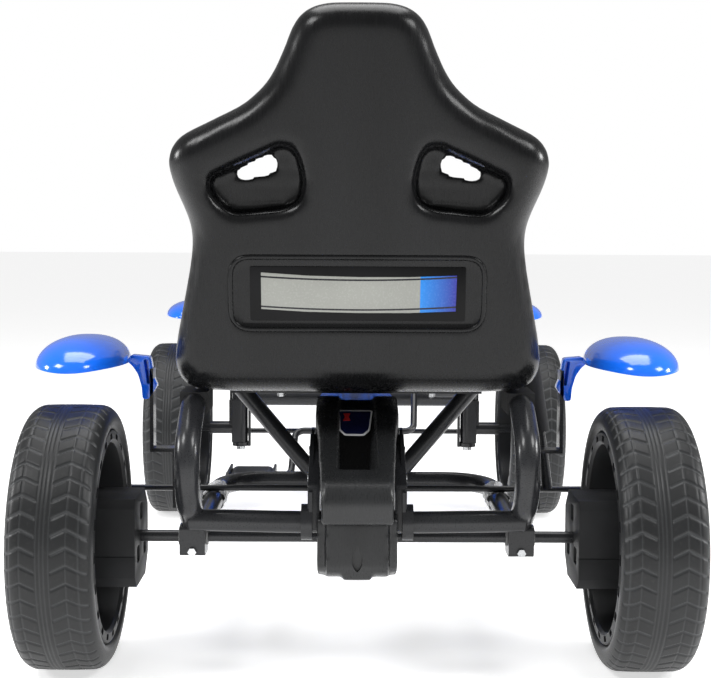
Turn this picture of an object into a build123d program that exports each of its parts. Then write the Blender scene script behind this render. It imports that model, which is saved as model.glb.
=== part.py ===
from build123d import *
import math
import os

# A four-wheel pedal go kart. +Y is forward, +X is the driver's right, +Z is up, Z = 0 is the ground.

# ---- driving dimensions, mm ----
TYRE_R = 135.0
TYRE_W = 84.0
SHOULDER_R = 14.0
REAR_Y = -436.0
WHEELBASE = 802.0
FRONT_Y = REAR_Y + WHEELBASE
REAR_X = 292.0
FRONT_X = 281.0
RIM_R = 109.0
RIM_SEAT_R = 100.0
AXLE_D = 12.0
NOSE_Y = TYRE_R - REAR_Y
FIT = 0.05
GAP = 0.3

BOW_D = 25.0
BOW_X = 168.0
CROSS_D = 22.0
WALL = 2.0
SPINE_D = 38.0
SPINE_START = (0, REAR_Y + 45, 186)
SPINE_END = (0, FRONT_Y + 20, 188)
CROSS_Y = REAR_Y - 38.0
CROSS_Z = 158.0
STRUT_LOW = (-50, REAR_Y + 275, 150)
STRUT_TOP = (-140, REAR_Y + 251, 262)
BEAM_Z = 187.0
KING_X = 182.0

CRANK_Y = REAR_Y + 640.0
CRANK_Z = 153.0
CRANK_D = 10.0
CRANK_R = 90.0
CRANK_X = 92.0
PEDAL_X = 148.0
PEDAL_W = 68.0
CHAIN_X = 32.0
PITCH = 12.7
RING_TEETH = 24
SPROCKET_TEETH = 12

COLUMN_TILT = 37.0
COLUMN_Y = FRONT_Y + 18.0
COLUMN_Z = 115.0
COLUMN_L = 400.0
PITMAN_R = 36.0
ARM_L = 57.6
ROD_Z = 121.5
BALL_X = KING_X - 1.0

FENDER_Z = 305.0
FENDER_RISE = 32.0
FENDER_L = 100.0
FENDER_WALL = 3.0
STAY_X = 230.0
STAY_Y = REAR_Y + 120.0
STAY_W = 21.0

BRAKE_Y = REAR_Y + 152.0
BRAKE_Z = 157.0
BRAKE_ROD_D = 7.0
LEVER_X = 211.0

PARTS = {}


def add(name, shape, colour):
    """Keep a named sub-part with its colour."""
    shape.color = Color(colour)
    shape.label = name
    PARTS[name] = shape


def mirrored(shape):
    """The same shape on the other side of the kart."""
    return mirror(shape, about=Plane.YZ)


def rod(start, end, diameter):
    """Round bar between two points."""
    axis = Vector(*end) - Vector(*start)
    return extrude(Plane(origin=start, z_dir=axis) * Circle(diameter / 2), axis.length)


def x_rod(x0, x1, y, z, diameter):
    """Round bar along X."""
    return rod((min(x0, x1), y, z), (max(x0, x1), y, z), diameter)


def block(x0, x1, y0, y1, z0, z1):
    """Box from its limits."""
    return Pos((x0 + x1) / 2, (y0 + y1) / 2, (z0 + z1) / 2) * Box(x1 - x0, y1 - y0, z1 - z0)


def swept(points, radii, diameter):
    """Round bar along straight runs joined by tangent arcs."""
    path = FilletPolyline(*points, radius=radii)
    section = Plane(origin=path @ 0, z_dir=path % 0) * Circle(diameter / 2)
    return sweep(section, path=path)


def bent_tube(points, radii, diameter, wall=WALL):
    """Hollow round tube along straight runs joined by tangent arcs."""
    return swept(points, radii, diameter) - swept(points, radii, diameter - 2 * wall)


def side_plate(points, x0, x1):
    """Plate between two X planes from an outline of (y, z) points."""
    face = make_face(Polyline(*[(0, y, z) for y, z in points], close=True))
    return Pos(min(x0, x1), 0, 0) * extrude(face, abs(x1 - x0), dir=(1, 0, 0))


def turned(profile, y, z):
    """Revolve an (x, r) outline about the X axis through (y, z)."""
    face = make_face(Polyline(*[(x, r, 0) for x, r in profile], close=True))
    return Pos(0, y, z) * revolve(face, Axis.X)


# ---- wheels ----
def tyre(x, y):
    """Hollow tyre, open towards the rim, with circumferential grooves."""
    half = TYRE_W / 2
    outer = Pos(x, y, TYRE_R) * Rot(0, 90, 0) * Cylinder(TYRE_R, TYRE_W)
    outer = fillet(outer.edges().filter_by(GeomType.CIRCLE), SHOULDER_R)
    inside = Pos(x, y, TYRE_R) * Rot(0, 90, 0) * Cylinder(TYRE_R - 7, TYRE_W - 14)
    inside = fillet(inside.edges().filter_by(GeomType.CIRCLE), SHOULDER_R - 7)
    bead = Pos(x, y, TYRE_R) * Rot(0, 90, 0) * Cylinder(RIM_R + GAP, TYRE_W + 2)
    body = outer - inside - bead
    for groove_x in (x - 11, x + 4):
        body -= turned([(groove_x - 1, TYRE_R - 1.2), (groove_x - 1, TYRE_R + 1), (groove_x + 1, TYRE_R + 1),
                        (groove_x + 1, TYRE_R - 1.2)], y, TYRE_R)
    return body


def rim(side, x, y, bore_r):
    """Dished rim: barrel with two lips, an outer web with five windows and a hub."""
    outline = [(-40, 94), (-40, RIM_R), (-36, RIM_R), (-34, RIM_SEAT_R), (34, RIM_SEAT_R), (36, RIM_R),
               (40, RIM_R), (40, 94), (26, 94), (20, 34), (30, 30), (30, bore_r), (-18, bore_r), (-18, 26),
               (10, 30), (16, 94)]
    profile = [(x + side * out, r) for out, r in outline]
    body = turned(profile, y, TYRE_R)
    window = extrude(Plane.YZ * SlotCenterToCenter(26, 28), 30, both=True)
    for k in range(5):
        angle = 72 * k + 90
        place = Pos(x + 22 * side, y, TYRE_R) * Rot(angle, 0, 0) * Pos(0, 64, 0)
        body -= place * window
    return body


def hub_block(side, x_in, x_out, y):
    """Square drive block with chamfered corners and a round recess in its inner face."""
    body = block(min(x_in, x_out), max(x_in, x_out), y - 47, y + 47, TYRE_R - 47, TYRE_R + 47)
    body = chamfer(body.edges().filter_by(Axis.X), 9)
    inner = x_in + 7 * side
    body -= x_rod(x_in - side, inner, y, TYRE_R, 62)
    body -= x_rod(x_in - side, x_out + side, y, TYRE_R, AXLE_D)
    return body


def wheel_cap(side, x, y):
    """Stepped round cap over the axle's end."""
    return turned([(x, 0), (x, 26), (x + 3 * side, 26), (x + 6 * side, 20), (x + 6 * side, 0)], y, TYRE_R)


def make_wheels():
    """Two rear wheels on the driven axle and two front wheels on stub axles."""
    for side, hand in ((-1, "left"), (1, "right")):
        x = side * REAR_X
        add(f"rear_tyre_{hand}", tyre(x, REAR_Y), "gray30")
        add(f"rear_rim_{hand}", rim(side, x, REAR_Y, AXLE_D / 2), "gray15")
        block_node = hub_block(side, side * 219, x - 18 * side, REAR_Y)
        add(f"hub_block_{hand}", block_node, "gray25")
        x = side * FRONT_X
        add(f"front_tyre_{hand}", tyre(x, FRONT_Y), "gray30")
        add(f"front_rim_{hand}", rim(side, x, FRONT_Y, AXLE_D / 2 + FIT), "gray15")
        cap = wheel_cap(side, side * (FRONT_X + 30), FRONT_Y) - x_rod(0, side * 313, FRONT_Y, TYRE_R, 13)
        add(f"front_cap_{hand}", cap, "gray10")
    caps = [wheel_cap(side, side * (REAR_X + 30), REAR_Y) for side in (-1, 1)]
    add("rear_caps", Compound(caps), "gray10")
    reach = REAR_X + 30
    add("rear_axle", x_rod(-reach, reach, REAR_Y, TYRE_R, AXLE_D), "silver")


# ---- frame ----
def bow():
    """Rear side bow of the left side, a C in side view from under the seat to the axle clamp."""
    points = [(-BOW_X, REAR_Y + 60, 272), (-BOW_X, REAR_Y - 6, 270), (-BOW_X, REAR_Y - 58, 238),
              (-BOW_X, REAR_Y - 58, 186), (-BOW_X, REAR_Y - 6, 153)]
    return bent_tube(points, [45, 40, 45], BOW_D), swept(points, [45, 40, 45], BOW_D)


def make_frame():
    """Welded tubes: spine, rear bows, rear cross tube, U-shaped sub-frame, struts and front beam."""
    bow_left, bow_core = bow()
    bow_right = mirrored(bow_left)
    spine_core = rod(SPINE_START, SPINE_END, SPINE_D)
    spine_bore = rod(SPINE_START, SPINE_END, SPINE_D - 2 * WALL)
    crank_shell = x_rod(-30, 22, CRANK_Y, CRANK_Z, 34)
    saddle = side_plate([(CRANK_Y - 16, CRANK_Z), (CRANK_Y + 16, CRANK_Z), (CRANK_Y + 16, 176),
                         (CRANK_Y - 16, 176)], -18, 18)
    spine = (spine_core + crank_shell + saddle) - spine_bore - x_rod(-40, 40, CRANK_Y, CRANK_Z, 26)
    cross_points = [(-BOW_X, CROSS_Y + 8, CROSS_Z), (-70, CROSS_Y, CROSS_Z), (70, CROSS_Y, CROSS_Z),
                    (BOW_X, CROSS_Y + 8, CROSS_Z)]
    cross = bent_tube(cross_points, [400, 400], CROSS_D)
    cross -= bow_core
    cross -= mirrored(bow_core)
    cross = max(cross.solids(), key=lambda solid: solid.volume)
    u_y = REAR_Y + 275
    u_points = [(-163, REAR_Y + 22, 139), (-163, u_y, 144), (163, u_y, 144), (163, REAR_Y + 22, 139)]
    subframe = bent_tube(u_points, [55, 55], CROSS_D)
    cap_discs = [Pos(side * 163, REAR_Y + 21.5, 139) * Rot(90, 0, 0) * Cylinder(CROSS_D / 2, 1) for side in (-1, 1)]
    subframe = subframe + cap_discs
    strut = rod(STRUT_LOW, STRUT_TOP, 20) - rod(STRUT_LOW, STRUT_TOP, 16)
    strut -= x_rod(-200, 0, u_y, 144, CROSS_D)
    strut -= block(-200, 0, u_y - 80, u_y + 40, 256, 300)
    strut = max(strut.solids(), key=lambda solid: solid.volume)
    beam = x_rod(-KING_X, KING_X, FRONT_Y, BEAM_Z - 3, 26) - x_rod(-KING_X, KING_X, FRONT_Y, BEAM_Z - 3, 22)
    beam -= spine_core
    for side in (-1, 1):
        beam -= x_rod(side * (KING_X - 16), side * 300, FRONT_Y, BEAM_Z - 3, 60)
    add("spine_frame", spine, "gray20")
    add("rear_bow_left", bow_left, "gray35")
    add("rear_bow_right", bow_right, "gray35")
    add("rear_cross_tube", cross, "gray30")
    add("subframe_tube", subframe, "gray40")
    add("seat_strut_left", strut, "gray30")
    add("seat_strut_right", mirrored(strut), "gray30")
    halves = [solid for solid in beam.solids() if solid.volume > 500]
    heads = []
    for side in (-1, 1):
        head = Pos(0, 0, 190) * Cylinder(13.6, 18) + Pos(0, 0, 109) * Cylinder(13.6, 6)
        head += block(-16, -12.3, -9, 9, 106, 199) + block(-13, -12, -9, 9, 181, 199)
        head += block(-13, -12, -9, 9, 106, 112)
        head -= Cylinder(4 + FIT, 400)
        head = Pos(KING_X, FRONT_Y, 0) * head
        heads.append(head if side > 0 else mirrored(head))
    add("front_beam", Compound(halves + heads), "gray20")
    pins = [Pos(side * KING_X, FRONT_Y, 0) * (Pos(0, 0, 152.5) * Cylinder(4, 99) + Pos(0, 0, 203) * Cylinder(7, 5)
            + Pos(0, 0, 103) * Cylinder(7, 6)) for side in (-1, 1)]
    add("kingpins", Compound(pins), "silver")


def make_axle_supports():
    """Clamp plates under the bows, their bushes and the collars on the rear cross tube."""
    clamps = []
    bushes = []
    for side in (-1, 1):
        x = side * BOW_X
        clamp = block(x - 13, x + 13, REAR_Y - 16, REAR_Y + 16, TYRE_R - 18, TYRE_R + 14)
        clamp = fillet(clamp.edges().filter_by(Axis.X), 5)
        clamp -= x_rod(x - 20, x + 20, REAR_Y, TYRE_R, AXLE_D + 6)
        clamp -= bow()[1] if side < 0 else mirrored(bow()[1])
        clamps.append(max(clamp.solids(), key=lambda solid: solid.volume))
        bush = x_rod(x - 15, x + 15, REAR_Y, TYRE_R, AXLE_D + 6 - 2 * FIT)
        bushes.append(bush - x_rod(x - 20, x + 20, REAR_Y, TYRE_R, AXLE_D + 2 * FIT))
    add("axle_clamps", Compound(clamps), "gray20")
    for x0, x1 in ((-30, -18), (10, 22)):
        bushes.append(x_rod(x0, x1, CRANK_Y, CRANK_Z, 26 - 2 * FIT)
                      - x_rod(x0 - 1, x1 + 1, CRANK_Y, CRANK_Z, CRANK_D + 2 * FIT))
    add("bushes", Compound(bushes), "gray60")


# ---- chain drive and pedals ----
def sprocket(teeth, y, z, hub_r, bore_d):
    """Toothed plate on the chain's middle plane with a hub on its left."""
    pitch_r = PITCH / 2 / math.sin(math.pi / teeth)
    plate = x_rod(CHAIN_X - 1.2, CHAIN_X + 1.2, y, z, 2 * pitch_r + 7)
    roller = Pos(CHAIN_X, y, z) * Rot(0, 90, 0)
    for k in range(teeth):
        angle = math.radians(360 / teeth * (k + 0.5))
        centre = (pitch_r * math.cos(angle), pitch_r * math.sin(angle), 0)
        plate -= roller * Pos(*centre) * Cylinder(4.1, 10)
    plate += x_rod(CHAIN_X - 4, CHAIN_X + 4, y, z, 2 * hub_r)
    return plate - x_rod(CHAIN_X - 20, CHAIN_X + 20, y, z, bore_d)


def chain_loop():
    """Closed chain: two side plates round both sprockets joined by rollers on the straight runs."""
    rear_r = PITCH / 2 / math.sin(math.pi / SPROCKET_TEETH)
    ring_r = PITCH / 2 / math.sin(math.pi / RING_TEETH)
    length = math.hypot(CRANK_Y - REAR_Y, CRANK_Z - TYRE_R)
    tilt = math.atan2(CRANK_Z - TYRE_R, CRANK_Y - REAR_Y)
    lean = math.asin((ring_r - rear_r) / length)

    def belt(grow, x0, x1):
        r0, r1 = rear_r + grow, ring_r + grow
        up, down = tilt + math.pi / 2 + lean, tilt - math.pi / 2 - lean
        tops = [(REAR_Y + r0 * math.cos(up), TYRE_R + r0 * math.sin(up)),
                (CRANK_Y + r1 * math.cos(up), CRANK_Z + r1 * math.sin(up))]
        lows = [(CRANK_Y + r1 * math.cos(down), CRANK_Z + r1 * math.sin(down)),
                (REAR_Y + r0 * math.cos(down), TYRE_R + r0 * math.sin(down))]
        body = side_plate(tops + lows, x0, x1)
        body += x_rod(x0, x1, REAR_Y, TYRE_R, 2 * r0)
        body += x_rod(x0, x1, CRANK_Y, CRANK_Z, 2 * r1)
        return body, tops, lows

    loop = None
    for x0, x1 in ((CHAIN_X - 4.2, CHAIN_X - 2.6), (CHAIN_X + 2.6, CHAIN_X + 4.2)):
        outer, tops, lows = belt(4, x0, x1)
        ring = outer - belt(-4, x0 - 1, x1 + 1)[0]
        loop = ring if loop is None else loop + ring
    middle = belt(0, 0, 1)
    for (y0, z0), (y1, z1) in (middle[1], middle[2]):
        run = math.hypot(y1 - y0, z1 - z0)
        count = int(run / PITCH) - 5
        for k in range(count):
            share = (PITCH * (k + 3)) / run
            loop += x_rod(CHAIN_X - 3, CHAIN_X + 3, y0 + (y1 - y0) * share, z0 + (z1 - z0) * share, 7)
    return loop


def make_drive():
    """Bent one-piece crank, two pedals, two sprockets and the chain."""
    back, drop = math.sqrt(CRANK_R ** 2 - 56 ** 2), 56.0
    left = (-CRANK_X, CRANK_Y - back, CRANK_Z - drop)
    right = (CRANK_X, CRANK_Y + back, CRANK_Z + drop)
    points = [(-186, left[1], left[2]), left, (-CRANK_X + 4, CRANK_Y, CRANK_Z),
              (CRANK_X - 4, CRANK_Y, CRANK_Z), right, (186, right[1], right[2])]
    crank = swept(points, [14, 14, 14, 14], CRANK_D)
    add("crank", crank, "silver")
    add("chainring", sprocket(RING_TEETH, CRANK_Y, CRANK_Z, 12, CRANK_D), "gray50")
    add("rear_sprocket", sprocket(SPROCKET_TEETH, REAR_Y, TYRE_R, 11, AXLE_D), "gray50")
    add("chain", chain_loop(), "gray60")
    for side, hand, pin in ((-1, "left", left), (1, "right", right)):
        body = Pos(side * PEDAL_X, pin[1], pin[2]) * Box(PEDAL_W, 74, 24)
        body = fillet(body.edges().filter_by(Axis.X), 11)
        body -= x_rod(side * 100, side * 200, pin[1], pin[2], CRANK_D + 2 * FIT)
        add(f"pedal_{hand}", body, "gray20")


# ---- chain cover ----
def tapered_hood():
    """Hollow hood over the chain and spine, open below and in front, with a bulging nose."""
    rear = REAR_Y - 106
    outline = [(rear + 4, 172), (rear, 196), (rear + 28, 210), (REAR_Y + 60, 258), (REAR_Y + 120, 262),
               (REAR_Y + 225, 250), (REAR_Y + 600, 222), (REAR_Y + 600, 160), (REAR_Y + 20, 172)]
    hollow = [(rear + 10, 120), (rear + 7, 192), (rear + 32, 204), (REAR_Y + 62, 253), (REAR_Y + 119, 257),
              (REAR_Y + 224, 246), (REAR_Y + 610, 217), (REAR_Y + 610, 120)]
    hood = side_plate(outline, -44, 44)
    return hood - side_plate(hollow, -41, 41)


def make_cover():
    """Chain hood, tail box round the rear sprocket and a bracket plate on each side."""
    hood = tapered_hood()
    for side in (-1, 1):
        low, top = [(side * x, y, z) for x, y, z in (STRUT_LOW, STRUT_TOP)]
        hood -= rod(low, top, 23)
    add("chain_cover", hood, "gray20")
    rear = REAR_Y - 84
    outline = [(rear, 168.5), (rear, 118), (rear + 8, 113), (REAR_Y - 30, 100), (REAR_Y + 40, 100),
               (REAR_Y + 40, 168.5)]
    hollow = [(rear + 3, 180), (rear + 3, 119), (rear + 9, 116), (REAR_Y - 29, 103), (REAR_Y + 60, 103),
              (REAR_Y + 60, 180)]
    tail = side_plate(outline, -39.5, 39.5) - side_plate(hollow, -37, 37)
    tail -= x_rod(-60, 60, REAR_Y, TYRE_R, AXLE_D + 4)
    tail -= x_rod(-60, 60, CROSS_Y, CROSS_Z, CROSS_D + 4)
    groove = Pos(0, rear, 138) * Rot(90, 0, 0) * extrude(Ellipse(4, 13), 1.5, both=True)
    add("chain_cover_tail", tail - groove, "gray20")
    plates = []
    for side in (-1, 1):
        plate = side_plate([(REAR_Y - 52, 146), (REAR_Y - 18, 146), (REAR_Y + 30, 180), (REAR_Y + 60, 240),
                            (REAR_Y + 44, 240), (REAR_Y - 50, 190)], side * 45, side * 48)
        plate += x_rod(side * 45, side * 56, CROSS_Y, CROSS_Z, 36)
        plate -= x_rod(side * 30, side * 70, CROSS_Y, CROSS_Z, CROSS_D + 2 * FIT)
        plates.append(plate)
    add("cover_brackets", Compound(plates), "gray20")


# ---- seat ----
SEAT_BACK_Y = REAR_Y - 25
SEAT_LEAN = 80.0 / 380.0
SEAT_BASE_Z = 288.0
PANEL_Z = 386.5


def lean(z, offset=0.0):
    """Y of the seat back's rear surface at height z, moved forward by an offset."""
    return SEAT_BACK_Y - (z - SEAT_BASE_Z) * SEAT_LEAN + offset


def seat_outline():
    """Rear outline of the bucket seat, as half of (x, z) points from the top centre down."""
    return [(0, 666), (44, 664), (58, 651), (72, 618), (85, 592), (104, 573), (140, 556), (172, 542), (186, 521),
            (182, 498), (161, 452), (165, 420), (184, 330), (186, 310), (176, 292), (150, 286), (0, 284)]


def shoulder_hole(grow=0.0):
    """Slanted opening in the right shoulder, cut straight forward."""
    points = [(144, 499), (75, 530), (63, 525), (55, 499), (58, 479), (73, 472), (124, 467), (142, 484)]
    face = make_face(Polyline(*[(x, z) for x, z in points], close=True))
    face = offset(face, grow) if grow else face
    return extrude(Plane(origin=(0, -400, 0), x_dir=(1, 0, 0), z_dir=(0, -1, 0)) * face, 500, both=True)


def seat_solid(inset):
    """Seat body, or with an inset the sealed hollow inside its walls."""
    half = seat_outline()
    full = half + [(-x, z) for x, z in reversed(half[1:-1])]
    face = make_face(Polyline(*full, close=True))
    face = offset(face, -inset) if inset else face
    silhouette = extrude(Plane(origin=(0, -300, 0), x_dir=(1, 0, 0), z_dir=(0, -1, 0)) * face, 700, both=True)
    front = REAR_Y + 330
    outline = [(lean(284), 284), (lean(666), 666), (lean(666, 50), 666), (lean(592, 62), 592),
               (lean(521, 100), 521), (lean(452, 118), 452), (lean(400, 165), 400), (lean(372, 250), 372),
               (front - 20, 352), (front, 340), (front + 6, 322), (front, 300), (front - 24, 284)]
    cavity = [(lean(660, 34), 760), (lean(592, 34), 592), (lean(380, 34), 380), (lean(330, 50), 330),
              (lean(330, 90), 316), (front + 90, 322), (front + 90, 760)]
    cheeks = [(lean(372, 90), 560), (lean(372, 90), 372), (lean(340, 110), 345), (front + 90, 348),
              (front + 90, 560)]

    def slab(points, half_width, grow):
        flat = make_face(Polyline(*points, close=True))
        flat = offset(flat, grow) if grow else flat
        return extrude(Plane.YZ * flat, half_width, both=True)

    body = slab(outline, 200, -inset) & silhouette
    body -= slab(cavity, 128 + inset, inset)
    body -= slab(cheeks, 152 + inset, inset)
    for side in (-1, 1):
        hole = shoulder_hole(inset)
        body -= hole if side > 0 else mirrored(hole)
        near, far = sorted((side * (165 - inset), side * 240))
        body -= block(near, far, REAR_Y + 96 - inset, front + 90, 200, 600)
    return body


def make_seat():
    """Bucket seat shell with a deep seat, side bolsters and two shoulder openings, and its rear plate."""
    body = seat_solid(0) - seat_solid(5)
    recess_plane = Plane(origin=(0, lean(PANEL_Z), PANEL_Z), z_dir=(0, 1, SEAT_LEAN), x_dir=(1, 0, 0))
    recess = extrude(recess_plane * RectangleRounded(248, 70, 16), 3, both=True)
    body -= recess
    add("seat_shell", body, "gray25")
    plate = extrude(recess_plane.offset(1.4) * RectangleRounded(196, 38, 4), 1.5)
    add("seat_plate", plate, "gray70")
    bracket = block(-150, 150, REAR_Y + 236, REAR_Y + 268, 256.2, 260)
    bracket += block(-150, 150, REAR_Y + 236, REAR_Y + 240, 256.2, 283.7)
    bracket += block(-150, 150, REAR_Y + 236, REAR_Y + 268, 280, 283.7)
    add("seat_bracket", bracket, "gray25")
    pads = []
    for side in (-1, 1):
        x = side * BOW_X
        pad = block(x - 14, x + 14, REAR_Y + 2, REAR_Y + 62, 262, 283.7)
        pad -= bow()[1] if side < 0 else mirrored(bow()[1])
        pads.append(max(pad.solids(), key=lambda solid: solid.bounding_box().max.Z))
    add("seat_pads", Compound(pads), "gray15")


# ---- fenders and nose fairing ----
def fender(x, y, half_w):
    """Right mudguard: a thin dome standing over the wheel, open below."""
    inner = (half_w - FENDER_WALL, FENDER_L - FENDER_WALL, FENDER_RISE - FENDER_WALL)
    dome = scale(Sphere(1), by=(half_w, FENDER_L, FENDER_RISE)) - scale(Sphere(1), by=inner)
    dome &= block(-half_w, half_w, -FENDER_L, FENDER_L, 0, FENDER_RISE)
    return Pos(x, y, FENDER_Z) * dome


def make_fenders():
    """Four mudguards: the rear pair with lugs for stays from the frame, the front pair on the knuckles."""
    rear = fender(REAR_X, REAR_Y + 70, 46)
    rear += block(STAY_X, STAY_X + 4, STAY_Y, STAY_Y + STAY_W, 268, FENDER_Z + 4)
    rear += block(STAY_X, STAY_X + 32, STAY_Y, STAY_Y + STAY_W, FENDER_Z, FENDER_Z + 4)
    front = fender(FRONT_X - 3, FRONT_Y + 40, 42)
    add("rear_fender_right", rear, "blue")
    add("rear_fender_left", mirrored(rear), "blue")
    add("front_fender_right", front, "blue")
    add("front_fender_left", mirrored(front), "blue")


def make_fairing():
    """Hollow nose fairing on a bracket ahead of the front beam."""
    back = FRONT_Y - 24
    outline = [(back + 4, 205), (NOSE_Y, 205), (NOSE_Y - 2, 240), (NOSE_Y - 75, 300), (back + 14, 345),
               (back, 340)]
    hollow = [(back - 6, 190), (NOSE_Y - 5, 190), (NOSE_Y - 5, 238), (NOSE_Y - 78, 296), (back + 12, 341),
              (back - 16, 341)]
    plan = [(-128, back), (128, back), (120, NOSE_Y - 75), (70, NOSE_Y), (-70, NOSE_Y), (-120, NOSE_Y - 75)]
    plan_in = [(-125, back - 6), (125, back - 6), (117, NOSE_Y - 76), (68, NOSE_Y - 3), (-68, NOSE_Y - 3),
               (-117, NOSE_Y - 76)]
    solid = side_plate(outline, -130, 130)
    solid &= extrude(make_face(Polyline(*[(x, y, 100) for x, y in plan], close=True)), 400, dir=(0, 0, 1))
    core = side_plate(hollow, -130, 130)
    core &= extrude(make_face(Polyline(*[(x, y, 100) for x, y in plan_in], close=True)), 400, dir=(0, 0, 1))
    add("front_fairing", solid - core, "blue")
    bracket = block(-40, 40, FRONT_Y + 20, NOSE_Y - 5, 206, 209)
    bracket += block(-40, 40, FRONT_Y + 20, FRONT_Y + 23, 172, 209)
    add("fairing_bracket", bracket, "gray25")


def rear_stay():
    """Strap from the sub-frame out and up to the rear mudguard of the right side."""
    y0, y1 = STAY_Y, STAY_Y + STAY_W
    stay = block(174.3, 205, y0, y1, 140, 144) + block(201, 205, y0, y1, 140, 207)
    return stay + block(201, STAY_X, y0, y1, 203, 207) + block(STAY_X - 4, STAY_X, y0, y1, 203, 296)


def front_stay():
    """Strap from the steering knuckle up to the front mudguard of the right side."""
    y0, y1 = FRONT_Y + 2, FRONT_Y + 34
    stay = block(196.3, 200, FRONT_Y - 12, y1, 140, 180) + block(196.3, 200, y0, y1, 140, FENDER_Z)
    stay += block(196.3, 247, y0 + 10, y1, FENDER_Z - 3, FENDER_Z)
    return stay - x_rod(190, 240, FRONT_Y, TYRE_R, 20 + GAP)


# ---- steering ----
def column_plane(along=0.0):
    """Plane square to the steering column, with its origin on the axis."""
    tilt = math.radians(COLUMN_TILT)
    axis = Vector(0, -math.sin(tilt), math.cos(tilt))
    origin = Vector(0, COLUMN_Y, COLUMN_Z) + axis * along
    return Plane(origin=origin, x_dir=(1, 0, 0), z_dir=axis)


def knuckle():
    """Right steering knuckle: kingpin block, stub axle and steering arm with its ball pin."""
    body = Pos(KING_X, FRONT_Y, 0) * (block(0, 14, -11, 11, 112.3, 180.7) + Pos(0, 0, 146.5) * Cylinder(11, 68.4))
    body += x_rod(KING_X + 6, 313, FRONT_Y, TYRE_R, AXLE_D)
    body += x_rod(KING_X + 6, 232, FRONT_Y, TYRE_R, 20)
    body += block(KING_X - 7, KING_X + 5, FRONT_Y + 6, FRONT_Y + ARM_L + 8, 112.3, 116.5)
    body += Pos(BALL_X, FRONT_Y + ARM_L, 120) * Cylinder(4, 15)
    return body - Pos(KING_X, FRONT_Y, 150) * Cylinder(4 + FIT, 200)


def tie_rod(level):
    """Right tie rod: outer socket round the arm's ball pin and a loose inner eye at the pitman pin."""
    pin_y = FRONT_Y + ARM_L
    shank = x_rod(18, BALL_X - 6, pin_y, ROD_Z, 8)
    shank += Pos(BALL_X, pin_y, ROD_Z) * Cylinder(9, 8)
    shank -= Pos(BALL_X, pin_y, ROD_Z) * Cylinder(4 + FIT, 30)
    axis = column_plane().z_dir
    centre = Vector(0, pin_y, ROD_Z) + axis * level
    flat = Plane(origin=centre, x_dir=(1, 0, 0), z_dir=axis)
    eye = extrude(flat * (Circle(11) + Pos(14, 0) * Rectangle(28, 12)), 2.6, both=True)
    shank -= extrude(flat * Rectangle(50, 60), 2.6, both=True)
    keep = extrude(flat * (Pos(100, 0) * Rectangle(156, 60)), 60, both=True)
    return (shank & keep) + eye - extrude(flat * Circle(6), 20, both=True)


def make_steering():
    """Column with pitman arm and pin, steering wheel, head tube, knuckles and tie rods."""
    column = extrude(column_plane() * Circle(8), COLUMN_L)
    column += extrude(column_plane() * (Pos(0, PITMAN_R / 2) * SlotCenterToCenter(PITMAN_R, 15, 90)), 5)
    column += extrude(column_plane(-24) * Pos(0, PITMAN_R) * Circle(3), 26)
    add("steering_column", column, "gray40")
    head = extrude(column_plane(58) * Circle(13), 62) - extrude(column_plane(50) * Circle(8 + FIT), 90)
    spine = PARTS["spine_frame"] - extrude(column_plane(50) * Circle(13), 90)
    add("spine_frame", spine, "gray20")
    add("steering_head", head, "gray25")
    hub_plane = column_plane(COLUMN_L)
    wheel = hub_plane * Pos(0, 0, 12) * Torus(118, 12)
    wheel += extrude(hub_plane * Circle(30), 18)
    for angle in (90, 210, 330):
        spoke = Pos(60, 0, 5) * Box(110, 26, 8)
        wheel += hub_plane * Rot(0, 0, angle) * spoke
    add("steering_wheel", wheel - extrude(column_plane(COLUMN_L - 40) * Circle(8), 40), "gray25")
    right = knuckle()
    add("knuckle_right", right, "gray30")
    add("knuckle_left", mirrored(right), "gray30")
    add("tie_rod_right", tie_rod(3.2), "silver")
    add("tie_rod_left", mirrored(tie_rod(-3.2)), "silver")
    add("front_stay_right", front_stay(), "gray25")
    add("front_stay_left", mirrored(front_stay()), "gray25")
    stays = [rear_stay(), mirrored(rear_stay())]
    add("rear_stays", Compound(stays), "gray25")


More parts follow.
